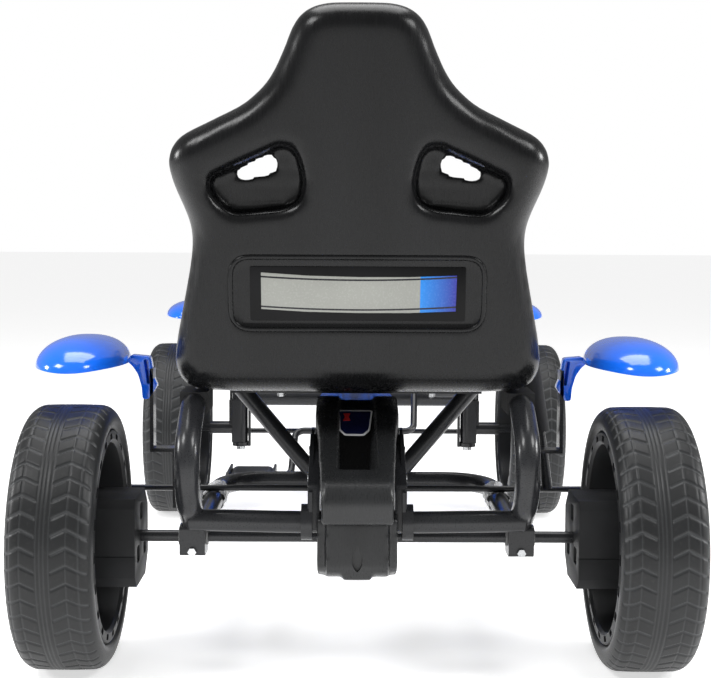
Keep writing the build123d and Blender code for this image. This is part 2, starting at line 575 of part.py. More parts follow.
# ---- brake ----
def make_brake():
    """Cross shaft with lever and grip, and a pad on an arm ahead of each rear tyre."""
    shaft = x_rod(-REAR_X - 8, REAR_X + 8, BRAKE_Y, BRAKE_Z, BRAKE_ROD_D)
    pads = []
    for side in (-1, 1):
        pad = turned([(-20, 141.5), (20, 141.5), (20, 149), (-20, 149)], 0, 0)
        slab = side_plate([(0, 0), (400, 85), (400, 146)], -60, 60)
        pads.append(Pos(side * REAR_X, REAR_Y, TYRE_R) * (pad & slab))
        arm = side_plate([(BRAKE_Y - 3, BRAKE_Z), (BRAKE_Y + 3, BRAKE_Z), (BRAKE_Y - 4, BRAKE_Z + 27),
                          (BRAKE_Y - 10, BRAKE_Z + 25)], side * REAR_X - 4, side * REAR_X + 4)
        shaft += arm - Pos(side * REAR_X, REAR_Y, TYRE_R) * (Rot(0, 90, 0) * Cylinder(149, 80))
    lever_points = [(LEVER_X + 7, BRAKE_Y, BRAKE_Z), (LEVER_X + 3, BRAKE_Y + 6, 192), (194, BRAKE_Y + 26, 330)]
    lever = swept(lever_points, [60], 12)
    shaft += lever
    bottom, top = Vector(*lever_points[1]), Vector(*lever_points[2])
    axis = (top - bottom).normalized()
    start = bottom + axis * 30
    grip = rod(tuple(start), tuple(top), 23) - rod(tuple(start - axis), tuple(top + axis), 12)
    grip += rod(tuple(top), tuple(top + axis * 6), 23)
    add("brake_shaft", shaft, "gray30")
    add("brake_grip", grip, "gray20")
    add("brake_pads", Compound(pads), "gray15")
    hangers = []
    for side in (-1, 1):
        x = side * 186
        hanger = block(x - 3, x + 3, BRAKE_Y - 9, BRAKE_Y + 9, 134, BRAKE_Z + 9)
        hanger += block(min(side * 174.3, x), max(side * 174.3, x), BRAKE_Y - 9, BRAKE_Y + 9, 134, 138)
        hangers.append(hanger - x_rod(x - 10, x + 10, BRAKE_Y, BRAKE_Z, BRAKE_ROD_D + 2 * FIT))
    add("brake_hangers", Compound(hangers), "gray30")


def make_fasteners():
    """Hex bolts on the axle clamps and pan screws on the cover brackets."""
    bolts = []
    for side in (-1, 1):
        bolts.append(Pos(side * BOW_X, REAR_Y - 18, TYRE_R - 13) * Rot(90, 0, 0)
                     * extrude(RegularPolygon(4.5, 6), 2, both=True))
        for y in (REAR_Y + 245, REAR_Y + 260):
            bolts.append(Pos(side * 90, y, 253.7) * extrude(RegularPolygon(5, 6), 2.4, both=True))
    add("hex_bolts", Compound(bolts), "silver")
    screws = []
    for side in (-1, 1):
        for y, z in ((REAR_Y - 20, 200), (REAR_Y + 30, 220)):
            screws.append(x_rod(side * 48, side * 50.5, y, z, 8))
    add("bracket_screws", Compound(screws), "silver")


make_wheels()
make_frame()
make_axle_supports()
make_drive()
make_cover()
make_seat()
make_fenders()
make_fairing()
make_steering()
make_brake()
make_fasteners()

os.makedirs("parts", exist_ok=True)
for part_name, part_shape in PARTS.items():
    export_step(part_shape, f"parts/{part_name}.step")
print(len(PARTS), "parts")
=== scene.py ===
"""Finishes and detailed shells for a four-wheel pedal go kart, built round its CAD frame."""

import math

import bpy
import numpy as np
from mathutils import Matrix, Vector


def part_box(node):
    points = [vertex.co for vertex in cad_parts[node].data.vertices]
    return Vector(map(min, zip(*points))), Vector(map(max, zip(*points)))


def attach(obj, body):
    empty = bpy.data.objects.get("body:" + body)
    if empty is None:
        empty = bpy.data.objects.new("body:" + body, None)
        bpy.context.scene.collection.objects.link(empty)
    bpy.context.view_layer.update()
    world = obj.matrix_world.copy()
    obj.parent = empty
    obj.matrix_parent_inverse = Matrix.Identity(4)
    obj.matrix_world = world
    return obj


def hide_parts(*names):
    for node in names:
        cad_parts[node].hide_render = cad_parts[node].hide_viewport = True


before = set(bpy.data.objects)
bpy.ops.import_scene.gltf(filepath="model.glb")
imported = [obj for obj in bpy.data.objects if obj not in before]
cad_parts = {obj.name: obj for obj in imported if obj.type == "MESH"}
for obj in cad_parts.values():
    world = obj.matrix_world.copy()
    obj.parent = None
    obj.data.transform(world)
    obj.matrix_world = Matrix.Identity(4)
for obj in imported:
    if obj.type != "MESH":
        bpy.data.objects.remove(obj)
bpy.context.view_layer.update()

bl_info = {
    "name": "Pedal Kart Finish",
    "version": (1, 0, 0),
    "blender": (4, 5, 0),
    "location": "View3D > Sidebar > Kart",
    "description": "Builds the seat, tyres, covers, mudguards and finishes of a pedal kart",
    "category": "Object",
}

MM = 0.001
AXLE_LOW, AXLE_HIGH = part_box("rear_axle")
REAR_Y = (AXLE_LOW[1] + AXLE_HIGH[1]) / 2
FRONT_LOW, FRONT_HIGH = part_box("front_tyre_right")
FRONT_Y = (FRONT_LOW[1] + FRONT_HIGH[1]) / 2
FRONT_X = (FRONT_LOW[0] + FRONT_HIGH[0]) / 2
REAR_LOW, REAR_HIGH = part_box("rear_tyre_right")
REAR_X = (REAR_LOW[0] + REAR_HIGH[0]) / 2
TYRE_R = (REAR_HIGH[2] - REAR_LOW[2]) / 2
TYRE_W = REAR_HIGH[0] - REAR_LOW[0]
WHEELS = (("rear", "right", REAR_X, REAR_Y, "rear_axle_unit"),
          ("rear", "left", -REAR_X, REAR_Y, "rear_axle_unit"),
          ("front", "right", FRONT_X, FRONT_Y, "front_wheel_right"),
          ("front", "left", -FRONT_X, FRONT_Y, "front_wheel_left"))

# Materials by finish name. main() fills it before the first piece is made.
FINISH = {}


# ---- properties ----
class KartColours(bpy.types.PropertyGroup):
    """Colours a user would change."""

    fender: bpy.props.FloatVectorProperty(
        name="Mudguards", description="Gloss plastic of the mudguards and nose",
        default=(0.006, 0.13, 0.78), subtype="COLOR", size=3, min=0, max=1)
    seat: bpy.props.FloatVectorProperty(
        name="Seat", description="Blow-moulded plastic of the seat",
        default=(0.0030, 0.0031, 0.0034), subtype="COLOR", size=3, min=0, max=1)
    metal: bpy.props.FloatVectorProperty(
        name="Frame", description="Powder coat of the tubes",
        default=(0.013, 0.0135, 0.015), subtype="COLOR", size=3, min=0, max=1)
    tyre: bpy.props.FloatVectorProperty(
        name="Tyres", description="Moulded tyre compound",
        default=(0.010, 0.0105, 0.011), subtype="COLOR", size=3, min=0, max=1)
    plate: bpy.props.FloatVectorProperty(
        name="Plate", description="Face of the rear plate",
        default=(0.30, 0.305, 0.28), subtype="COLOR", size=3, min=0, max=1)


class KartSizes(bpy.types.PropertyGroup):
    """Sizes a user would change."""

    tread_depth: bpy.props.FloatProperty(
        name="Tread depth", description="Depth of the tread grooves", default=0.0016,
        unit="LENGTH")
    tread_pitch: bpy.props.IntProperty(
        name="Tread blocks", description="Chevrons round one tyre", default=50, min=20, max=80)
    seat_voxel: bpy.props.FloatProperty(
        name="Seat fineness", description="Cell size of the seat's skin", default=0.0038,
        unit="LENGTH")
    cover_voxel: bpy.props.FloatProperty(
        name="Cover fineness", description="Cell size of the chain cover's skin", default=0.0022,
        unit="LENGTH")
    fender_wall: bpy.props.FloatProperty(
        name="Mudguard wall", description="Thickness of the mudguards", default=0.003,
        unit="LENGTH")


# ---- modelling helpers ----
def clear_selection():
    """Deselect everything, because operators act on all that is selected."""
    if bpy.context.object and bpy.context.object.mode != "OBJECT":
        bpy.ops.object.mode_set(mode="OBJECT")
    bpy.ops.object.select_all(action="DESELECT")


def pick(obj):
    """Make one object the only selected and active one."""
    clear_selection()
    obj.select_set(True)
    bpy.context.view_layer.objects.active = obj
    return obj


def rename(obj, name):
    """Name an object and its mesh alike."""
    obj.name = name
    obj.data.name = name
    return obj


def bake_place(obj):
    """Put an object's place, turn and scale into its mesh."""
    pick(obj)
    bpy.ops.object.transform_apply(location=True, rotation=True, scale=True)
    return obj


def apply_modifier(obj, kind, **settings):
    """Add a modifier with its settings and apply it."""
    pick(obj)
    modifier = obj.modifiers.new(kind.lower(), kind)
    for key, value in settings.items():
        setattr(modifier, key, value)
    bpy.ops.object.modifier_apply(modifier=modifier.name)
    return obj


def crisp(obj, degrees):
    """Shade a piece smooth, with edges sharper than an angle left sharp."""
    pick(obj)
    bpy.ops.object.shade_smooth_by_angle(angle=math.radians(degrees))
    return obj


def face_outwards(obj):
    """Turn every face of a closed piece outwards."""
    pick(obj)
    bpy.ops.object.mode_set(mode="EDIT")
    bpy.ops.mesh.select_all(action="SELECT")
    bpy.ops.mesh.normals_make_consistent(inside=False)
    bpy.ops.object.mode_set(mode="OBJECT")
    return obj


def combine(obj, tool, operation):
    """Apply a boolean with a tool object and remove the tool."""
    apply_modifier(obj, "BOOLEAN", operation=operation, object=tool, solver="EXACT")
    bpy.data.objects.remove(tool, do_unlink=True)
    return obj


def round_corners(points, radius, steps=5):
    """Replace each corner of a closed outline with a smooth curve that starts a radius from it."""
    smooth = []
    count = len(points)
    for k in range(count):
        before, corner, after = (Vector(points[(k + d) % count]) for d in (-1, 0, 1))
        back, ahead = before - corner, after - corner
        start = corner + back * min(0.45, radius / back.length)
        end = corner + ahead * min(0.45, radius / ahead.length)
        for step in range(steps + 1):
            t = step / steps
            smooth.append(start * (1 - t) ** 2 + corner * 2 * t * (1 - t) + end * t ** 2)
    return smooth


def prism(name, outline, axis, low, high):
    """Solid from an outline on the two other axes, extruded along one axis between two places."""
    clear_selection()
    bpy.ops.mesh.primitive_circle_add(vertices=len(outline), radius=1, fill_type="NGON")
    obj = rename(bpy.context.object, name)
    others = [k for k in range(3) if k != axis]
    for vertex, point in zip(obj.data.vertices, outline):
        vertex.co[axis] = low
        vertex.co[others[0]] = point[0]
        vertex.co[others[1]] = point[1]
    bpy.ops.object.mode_set(mode="EDIT")
    bpy.ops.mesh.select_all(action="SELECT")
    shift = [0.0, 0.0, 0.0]
    shift[axis] = high - low
    bpy.ops.mesh.extrude_region_move(TRANSFORM_OT_translate={"value": shift})
    bpy.ops.mesh.select_all(action="SELECT")
    bpy.ops.mesh.normals_make_consistent(inside=False)
    bpy.ops.object.mode_set(mode="OBJECT")
    return obj


def skin(obj, voxel, passes):
    """Rebuild a solid's skin as even cells and soften its edges."""
    apply_modifier(obj, "REMESH", mode="VOXEL", voxel_size=voxel, adaptivity=0.0,
                   use_smooth_shade=True)
    apply_modifier(obj, "SMOOTH", factor=0.5, iterations=passes)
    pick(obj)
    bpy.ops.object.shade_smooth()
    return obj


def rounded_block(name, centre, size, radius, segments=3):
    """Box with rounded edges."""
    clear_selection()
    bpy.ops.mesh.primitive_cube_add(size=1, location=centre)
    obj = rename(bpy.context.object, name)
    obj.scale = size
    bake_place(obj)
    bpy.ops.object.mode_set(mode="EDIT")
    bpy.ops.mesh.select_all(action="SELECT")
    bpy.ops.mesh.bevel(offset=radius, segments=segments, affect="EDGES")
    bpy.ops.object.mode_set(mode="OBJECT")
    return crisp(obj, 40)


def cross_bar(radius, depth, centre, sides=40):
    """Round bar that runs across the kart, to cut a bore with."""
    clear_selection()
    bpy.ops.mesh.primitive_cylinder_add(vertices=sides, radius=radius, depth=depth, location=centre,
                                        rotation=(0, math.pi / 2, 0))
    return bake_place(bpy.context.object)


def lathed(name, profile, steps=128):
    """Ring spun from a closed section of (x, r) points about X at the origin."""
    clear_selection()
    bpy.ops.mesh.primitive_circle_add(vertices=len(profile), radius=1, fill_type="NOTHING")
    obj = rename(bpy.context.object, name)
    for vertex, (x, r) in zip(obj.data.vertices, profile):
        vertex.co = (x, 0, r)
    bpy.ops.object.mode_set(mode="EDIT")
    bpy.ops.mesh.select_all(action="SELECT")
    bpy.ops.mesh.spin(steps=steps, angle=2 * math.pi, center=(0, 0, 0), axis=(1, 0, 0))
    bpy.ops.mesh.select_all(action="SELECT")
    bpy.ops.mesh.remove_doubles(threshold=0.00002)
    bpy.ops.mesh.normals_make_consistent(inside=False)
    bpy.ops.object.mode_set(mode="OBJECT")
    return obj


def mirror_copy(obj, name):
    """A copy of a piece on the kart's other side, with its own mesh and faces outwards."""
    copy = obj.copy()
    copy.data = obj.data.copy()
    bpy.context.collection.objects.link(copy)
    rename(copy, name)
    copy.scale = (-1, 1, 1)
    return face_outwards(bake_place(copy))


def wear(obj, material):
    """Give a piece one material."""
    obj.data.materials.clear()
    obj.data.materials.append(material)
    return obj


def dress(nodes, material):
    """Give CAD nodes one material."""
    for node in nodes:
        wear(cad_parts[node], material)


# ---- finishes ----
def speckled(tree, place, scale, detail):
    """Output of a noise pattern."""
    node = tree.nodes.new("ShaderNodeTexNoise")
    node.inputs["Scale"].default_value = scale
    node.inputs["Detail"].default_value = detail
    tree.links.new(place, node.inputs["Vector"])
    return node.outputs["Fac"]


def remapped(tree, value, low, high, start, end):
    """Output of a value stretched from one range to another."""
    node = tree.nodes.new("ShaderNodeMapRange")
    for key, number in (("From Min", low), ("From Max", high), ("To Min", start), ("To Max", end)):
        node.inputs[key].default_value = number
    tree.links.new(value, node.inputs["Value"])
    return node.outputs["Result"]


def calculated(tree, operation, *values):
    """Output of a sum on numbers and other nodes' outputs."""
    node = tree.nodes.new("ShaderNodeMath")
    node.operation = operation
    for socket, value in zip(node.inputs, values):
        if isinstance(value, (int, float)):
            socket.default_value = value
        else:
            tree.links.new(value, socket)
    return node.outputs["Value"]


def tinted(tree, share, under, over):
    """Output of a colour mixed by a share towards a plain colour or another node's output."""
    node = tree.nodes.new("ShaderNodeMix")
    node.data_type = "RGBA"
    tree.links.new(share, node.inputs["Factor"])
    tree.links.new(under, node.inputs["A"])
    if isinstance(over, tuple):
        node.inputs["B"].default_value = (*over, 1)
    else:
        tree.links.new(over, node.inputs["B"])
    return node.outputs["Result"]


def moulded(name, dark, light, rough, spread=0.08, grain=900.0, bump=0.08, depth=0.0002,
            stretch=(1, 1, 1), metallic=0.0, coat=0.0, dust=0.0, shine=0.5):
    """Procedural finish: broad colour drift, fine grain in roughness and bump, and faint pale dust."""
    material = bpy.data.materials.new(name)
    material.use_nodes = True
    tree = material.node_tree
    nodes, links = tree.nodes, tree.links
    shader = nodes["Principled BSDF"]
    shader.inputs["Metallic"].default_value = metallic
    shader.inputs["Coat Weight"].default_value = coat
    shader.inputs["Coat Roughness"].default_value = 0.06
    shader.inputs["Specular IOR Level"].default_value = shine
    mapping = nodes.new("ShaderNodeMapping")
    mapping.inputs["Scale"].default_value = stretch
    links.new(nodes.new("ShaderNodeTexCoord").outputs["Object"], mapping.inputs["Vector"])
    place = mapping.outputs["Vector"]
    fine = speckled(tree, place, grain, 3)
    ramp = nodes.new("ShaderNodeValToRGB")
    for stop, position, colour in zip(ramp.color_ramp.elements, (0.32, 0.68), (dark, light)):
        stop.position = position
        stop.color = (*colour, 1)
    links.new(speckled(tree, place, 14, 4), ramp.inputs["Fac"])
    colour = ramp.outputs["Color"]
    if dust:
        amount = remapped(tree, speckled(tree, place, 240, 6), 0.56, 0.8, 0, dust)
        colour = tinted(tree, amount, colour, (0.22, 0.21, 0.2))
    links.new(colour, shader.inputs["Base Color"])
    gloss = remapped(tree, fine, 0.3, 0.7, max(0.04, rough - spread), rough + spread)
    links.new(gloss, shader.inputs["Roughness"])
    relief = nodes.new("ShaderNodeBump")
    relief.inputs["Strength"].default_value = bump
    relief.inputs["Distance"].default_value = depth
    links.new(fine, relief.inputs["Height"])
    links.new(relief.outputs["Normal"], shader.inputs["Normal"])
    return material


def paint_groove_highlight(material, pale):
    """Blend a paler colour into a tyre's pressed grooves, read from its own attribute: a painted highlight
    for the light caught along the groove edges.
    """
    tree = material.node_tree
    base = tree.nodes["Principled BSDF"].inputs["Base Color"]
    depth = tree.nodes.new("ShaderNodeAttribute")
    depth.attribute_name = "groove"
    share = remapped(tree, depth.outputs["Fac"], 0, 1, 0, 0.75)
    tree.links.new(tinted(tree, share, base.links[0].from_socket, pale), base)
    return material


def lighter(colour, factor):
    """A colour made brighter by a factor, kept below white."""
    return tuple(min(0.95, c * factor) for c in colour)


def make_finishes(colours):
    """Every finish of the kart by name."""
    seat, metal, tyre, blue = colours.seat, colours.metal, colours.tyre, colours.fender
    # paler colour painted into the tread grooves: a painted highlight, not a colour of the rubber
    groove_highlight_paint = (0.07, 0.073, 0.076)
    rubber = moulded("tyre_compound", tyre, lighter(tyre, 1.7), 0.42, 0.08, 1100, 0.16, dust=0.05,
                     shine=0.3)
    return {
        "seat": moulded("seat_plastic", seat, lighter(seat, 1.9), 0.27, 0.04, 420, 0.10, 0.0004,
                        stretch=(1, 1, 0.06), shine=0.26),
        "cover": moulded("cover_plastic", (0.012, 0.0125, 0.013), (0.02, 0.021, 0.022), 0.30, 0.06,
                         700, 0.06, stretch=(1, 0.3, 0.3), shine=0.4),
        "tyre": paint_groove_highlight(rubber, groove_highlight_paint),
        "rim": moulded("rim_plastic", (0.010, 0.0105, 0.011), (0.017, 0.0175, 0.019), 0.42, 0.08,
                       1300, 0.12, shine=0.2),
        "hub": moulded("hub_plastic", (0.012, 0.0125, 0.013), (0.022, 0.0225, 0.024), 0.55, 0.08,
                       1500, 0.16, shine=0.15),
        "coat": moulded("powder_coat", metal, lighter(metal, 1.6), 0.31, 0.07, 800, 0.14, 0.00025,
                        coat=0.2, shine=0.3),
        "blue": moulded("mudguard_gloss", blue, lighter(blue, 1.25), 0.17, 0.03, 1600, 0.03, 0.0001,
                        coat=0.6),
        "zinc": moulded("zinc_plate", (0.42, 0.43, 0.44), (0.62, 0.63, 0.64), 0.26, 0.10, 600, 0.1,
                        metallic=1),
        "oiled": moulded("oiled_steel", (0.07, 0.07, 0.075), (0.16, 0.155, 0.15), 0.38, 0.12, 500,
                         0.15, metallic=1),
        "nylon": moulded("nylon", (0.12, 0.12, 0.12), (0.2, 0.2, 0.2), 0.5, 0.06, 900, 0.08),
        "foam": moulded("grip_foam", (0.010, 0.010, 0.011), (0.02, 0.02, 0.021), 0.78, 0.08, 1500,
                        0.5, 0.0006),
        "pedal": moulded("pedal_plastic", (0.018, 0.0185, 0.02), (0.034, 0.035, 0.037), 0.5, 0.08,
                         900, 0.12),
        "film": moulded("film", (0.35, 0.36, 0.37), (0.8, 0.8, 0.8), 0.16, 0.05, 180, 1.0, 0.003),
    }


# ---- stage ----
CAMERA_PLACE = (-0.0093, REAR_Y - 1.407, 0.446)
CAMERA_DOWN, CAMERA_PAN, CAMERA_ROLL = 4.34, -0.28, 0.3
LENS_MM, SENSOR_MM = 70.0, 36
FLOOR_GLOW = 0.62
SKY_LIGHT, SKY_SEEN = 0.32, 1.0
# name, place, power in watts and side in metres of each lamp
LAMPS = (("key", (-1.5, REAR_Y - 1.0, 2.2), 30, 0.8),
         ("fill", (1.7, REAR_Y - 0.8, 1.9), 24, 0.8),
         ("top", (0, REAR_Y + 0.6, 2.6), 46, 1.8),
         ("low", (0, REAR_Y - 2.4, 0.35), 1.5, 1.4),
         ("left", (-2.2, REAR_Y + 0.1, 0.9), 22, 0.5),
         ("right", (2.2, REAR_Y + 0.1, 0.9), 22, 0.5))
LAMP_AIM = Vector((0, REAR_Y + 0.1, 0.33))


class KART_OT_stage(bpy.types.Operator):
    """Floor, soft lights and the camera behind the kart."""

    bl_idname = "kart.stage"
    bl_label = "Stage"

    def execute(self, context):
        clear_selection()
        bpy.ops.mesh.primitive_plane_add(size=60, location=(0, 0, 0))
        floor = rename(context.object, "floor")
        bake_place(floor)
        pale = moulded("floor_paint", (0.86, 0.86, 0.86), (0.90, 0.90, 0.90), 0.6, 0.03, 60, 0.02)
        shader = pale.node_tree.nodes["Principled BSDF"]
        shader.inputs["Emission Color"].default_value = (1, 1, 1, 1)
        shader.inputs["Emission Strength"].default_value = FLOOR_GLOW
        wear(floor, pale)
        world = bpy.data.worlds.new("studio")
        context.scene.world = world
        world.use_nodes = True
        nodes, links = world.node_tree.nodes, world.node_tree.links
        soft = nodes["Background"]
        soft.inputs["Strength"].default_value = SKY_LIGHT
        seen = nodes.new("ShaderNodeBackground")
        seen.inputs["Strength"].default_value = SKY_SEEN
        for background in (soft, seen):
            background.inputs["Color"].default_value = (1, 1, 1, 1)
        path = nodes.new("ShaderNodeLightPath")
        blend = nodes.new("ShaderNodeMixShader")
        links.new(path.outputs["Is Camera Ray"], blend.inputs["Fac"])
        links.new(soft.outputs["Background"], blend.inputs[1])
        links.new(seen.outputs["Background"], blend.inputs[2])
        links.new(blend.outputs["Shader"], nodes["World Output"].inputs["Surface"])
        context.scene.view_settings.view_transform = "Standard"
        for name, place, power, size in LAMPS:
            clear_selection()
            bpy.ops.object.light_add(type="AREA", location=place)
            lamp = context.object
            lamp.name = name
            lamp.data.energy = power
            lamp.data.size = size
            lamp.rotation_euler = (LAMP_AIM - Vector(place)).to_track_quat("-Z", "Y").to_euler()
        clear_selection()
        bpy.ops.object.camera_add(location=CAMERA_PLACE)
        camera = context.object
        turn = (Matrix.Rotation(math.radians(CAMERA_PAN), 4, "Z")
                @ Matrix.Rotation(math.radians(90 - CAMERA_DOWN), 4, "X")
                @ Matrix.Rotation(math.radians(CAMERA_ROLL), 4, "Z"))
        camera.matrix_world = Matrix.Translation(camera.location) @ turn
        camera.data.lens = LENS_MM
        camera.data.sensor_width = SENSOR_MM
        camera.data.dof.use_dof = False
        context.scene.camera = camera
        return {"FINISHED"}


# ---- seat ----
SEAT_BACK_Y = REAR_Y - 0.025
SEAT_FOOT_Z = 0.288
SEAT_LEAN = 80 / 380
SEAT_FRONT_Y = REAR_Y + 0.330
LIP_R = 0.0026
LIP_PROUD = 0.0009


def lean(z, forward=0.0):
    """Y of the seat back's rear surface at height z, moved forward."""
    return SEAT_BACK_Y - (z - SEAT_FOOT_Z) * SEAT_LEAN + forward


def lean_back(obj):
    """Move a piece made round Y = 0 onto the leaning rear face of the seat back."""
    for vertex in obj.data.vertices:
        vertex.co.y += lean(vertex.co.z)
    return obj


def in_metres(points):
    """Outline points from millimetres."""
    return [(a * MM, b * MM) for a, b in points]


def both_sides(half):
    """Full outline from the points of its right half, listed from the top centre down."""
    return half + [(-x, z) for x, z in reversed(half[1:-1])]


def roll_edge(seat, outline, radius, reach):
    """Curve the back's rear face forward near an outline, fading out through the wall."""
    coords = np.empty(len(seat.data.vertices) * 3)
    seat.data.vertices.foreach_get("co", coords)
    coords = coords.reshape(-1, 3)
    flat = coords[:, (0, 2)]
    nearest = np.full(len(flat), 1.0)
    points = np.array([(point[0], point[1]) for point in outline])
    for start, end in zip(points, np.roll(points, -1, axis=0)):
        along = end - start
        share = np.clip((flat - start) @ along / max(along @ along, 1e-12), 0, 1)
        nearest = np.minimum(nearest, np.linalg.norm(flat - start - share[:, None] * along, axis=1))
    inside = np.clip(1 - nearest / radius, 0, 1)
    drop = radius * (1 - np.sqrt(np.clip(1 - inside ** 2, 0, 1)))
    depth = coords[:, 1] - lean(coords[:, 2])
    coords[:, 1] += drop * np.clip(1 - depth / reach, 0, 1)
    seat.data.vertices.foreach_set("co", coords.ravel())
    seat.data.update()


def panel_lip(name, outline, radius):
    """Rolled lip along a closed outline on the seat's rear face."""
    ring_r, tube_r = 1, 0.1
    points = [Vector((point[0], point[1])) for point in outline]
    runs = [(points[k], points[(k + 1) % len(points)]) for k in range(len(points))]
    total = sum((b - a).length for a, b in runs)
    clear_selection()
    bpy.ops.mesh.primitive_torus_add(major_segments=220, minor_segments=14, major_radius=ring_r,
                                     minor_radius=tube_r)
    obj = rename(bpy.context.object, name)
    for vertex in obj.data.vertices:
        x, y, z = vertex.co
        want = (math.atan2(y, x) / (2 * math.pi) % 1.0) * total
        place, heading = points[0], Vector((1, 0))
        for a, b in runs:
            length = (b - a).length
            if want <= length:
                place, heading = a.lerp(b, want / max(length, 1e-9)), (b - a).normalized()
                break
            want -= length
        out = (math.hypot(x, y) - ring_r) / tube_r * radius
        spot = place + Vector((heading[1], -heading[0])) * out
        vertex.co = (spot[0], lean(spot[1]) + z / tube_r * radius + LIP_PROUD, spot[1])
    face_outwards(obj)
    bpy.ops.object.shade_smooth()
    return obj


class KART_OT_seat(bpy.types.Operator):
    """Blow-moulded bucket seat with soft edges, two shoulder pockets and a recess for the plate."""

    bl_idname = "kart.seat"
    bl_label = "Seat"

    def execute(self, context):
        voxel = context.scene.kart_sizes.seat_voxel
        seat = self.shell(voxel)
        self.pockets(seat)
        panel = round_corners(in_metres([(-126, 423), (124, 423), (124, 351), (-126, 351)]), 0.020)
        combine(seat, lean_back(prism("panel", panel, 1, -0.004, 0.0045)), "DIFFERENCE")
        skin(seat, voxel, 3)
        lip = wear(panel_lip("panel_lip", panel, LIP_R), FINISH["seat"])
        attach(lip, "chassis")
        wear(seat, FINISH["seat"])
        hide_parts("seat_shell")
        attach(seat, "chassis")
        return {"FINISHED"}

    def shell(self, voxel):
        """Bucket cut from its outlines from behind and from the side, then hollowed and softened."""
        half = in_metres([(0, 667), (40, 666), (62, 652), (74, 620), (87, 594), (110, 572), (146, 555),
                          (178, 540), (189, 520), (184, 496), (164, 452), (167, 420), (186, 330), (187, 306),
                          (172, 286), (120, 284), (0, 284)])
        outline = round_corners(both_sides(half), 0.022)
        front = SEAT_FRONT_Y
        side = [(lean(0.284), 0.284), (lean(0.666), 0.666), (lean(0.666, 0.050), 0.666),
                (lean(0.592, 0.062), 0.592), (lean(0.521, 0.100), 0.521), (lean(0.452, 0.118), 0.452),
                (lean(0.400, 0.165), 0.400), (lean(0.372, 0.250), 0.372), (front - 0.020, 0.352),
                (front, 0.340), (front + 0.006, 0.322), (front, 0.300), (front - 0.024, 0.284)]
        seat = prism("seat", outline, 1, REAR_Y - 0.20, REAR_Y + 0.40)
        combine(seat, prism("profile", round_corners(side, 0.014), 0, -0.21, 0.21), "INTERSECT")
        cavity = [(lean(0.66, 0.034), 0.76), (lean(0.592, 0.034), 0.592), (lean(0.38, 0.034), 0.38),
                  (lean(0.33, 0.05), 0.33), (lean(0.33, 0.09), 0.316), (front + 0.09, 0.322),
                  (front + 0.09, 0.76)]
        combine(seat, prism("hollow", round_corners(cavity, 0.02), 0, -0.128, 0.128), "DIFFERENCE")
        cheeks = [(lean(0.372, 0.09), 0.56), (lean(0.372, 0.09), 0.372), (lean(0.34, 0.11), 0.345),
                  (front + 0.09, 0.348), (front + 0.09, 0.56)]
        combine(seat, prism("cheeks", round_corners(cheeks, 0.02), 0, -0.152, 0.152), "DIFFERENCE")
        for side_sign in (-1, 1):
            near, far = sorted((side_sign * 0.165, side_sign * 0.26))
            flank = [(REAR_Y + 0.096, 0.2), (REAR_Y + 0.096, 0.6), (front + 0.09, 0.6), (front + 0.09, 0.2)]
            combine(seat, prism("flank", flank, 0, near, far), "DIFFERENCE")
        skin(seat, voxel, 30)
        roll_edge(seat, outline, 0.030, 0.046)
        return apply_modifier(seat, "SMOOTH", factor=0.5, iterations=12)

    def pockets(self, seat):
        """A pocket behind each shoulder, with a window through to the front."""
        pocket = in_metres([(147, 500), (74, 533), (61, 526), (54, 499), (57, 478), (73, 470), (124, 465),
                            (144, 483)])
        window = in_metres([(128, 503), (83, 525), (82, 507), (116, 499)])
        for side_sign in (-1, 1):
            mouth = round_corners([(side_sign * x, z) for x, z in pocket], 0.009)
            combine(seat, lean_back(prism("pocket", mouth, 1, -0.10, 0.0295)), "DIFFERENCE")
            roll_edge(seat, mouth, 0.011, 0.020)
            through = round_corners([(side_sign * x, z) for x, z in window], 0.005)
            combine(seat, prism("window", through, 1, REAR_Y - 0.3, REAR_Y + 0.2), "DIFFERENCE")


# ---- tyres ----
# low edge, high edge and apex of each row of chevrons, as shares of the tyre's width
TREAD_COLUMNS = ((0.03, 0.37, 0.20), (0.545, 0.95, 0.72))
RIB_LINES = (0.075, 0.20, 0.385, 0.43, 0.475, 0.53, 0.72, 0.86)
CHEVRON_SLANT = 2.4
CHEVRON_HALF = 0.085
RIB_HALF = 0.0115
CROWN_COLUMNS = 96
STEPS_PER_PITCH = 14
SHOULDER_R = 0.015
TREAD_BAND = 0.018


def groove_depth(across, pitches, deep):
    """Depth of the tread at a place across the tyre and round it, as a share of the full depth."""
    cut = 0.0
    for low, high, apex in TREAD_COLUMNS:
        if low < across < high:
            phase = (pitches - CHEVRON_SLANT * abs(across - apex)) % 1.0
            cut = max(cut, 1.25 - min(phase, 1.0 - phase) / CHEVRON_HALF)
    for line in RIB_LINES:
        cut = max(cut, 0.6 * (1.0 - abs(across - line) / RIB_HALF))
    return max(0.0, min(1.0, cut)) * deep


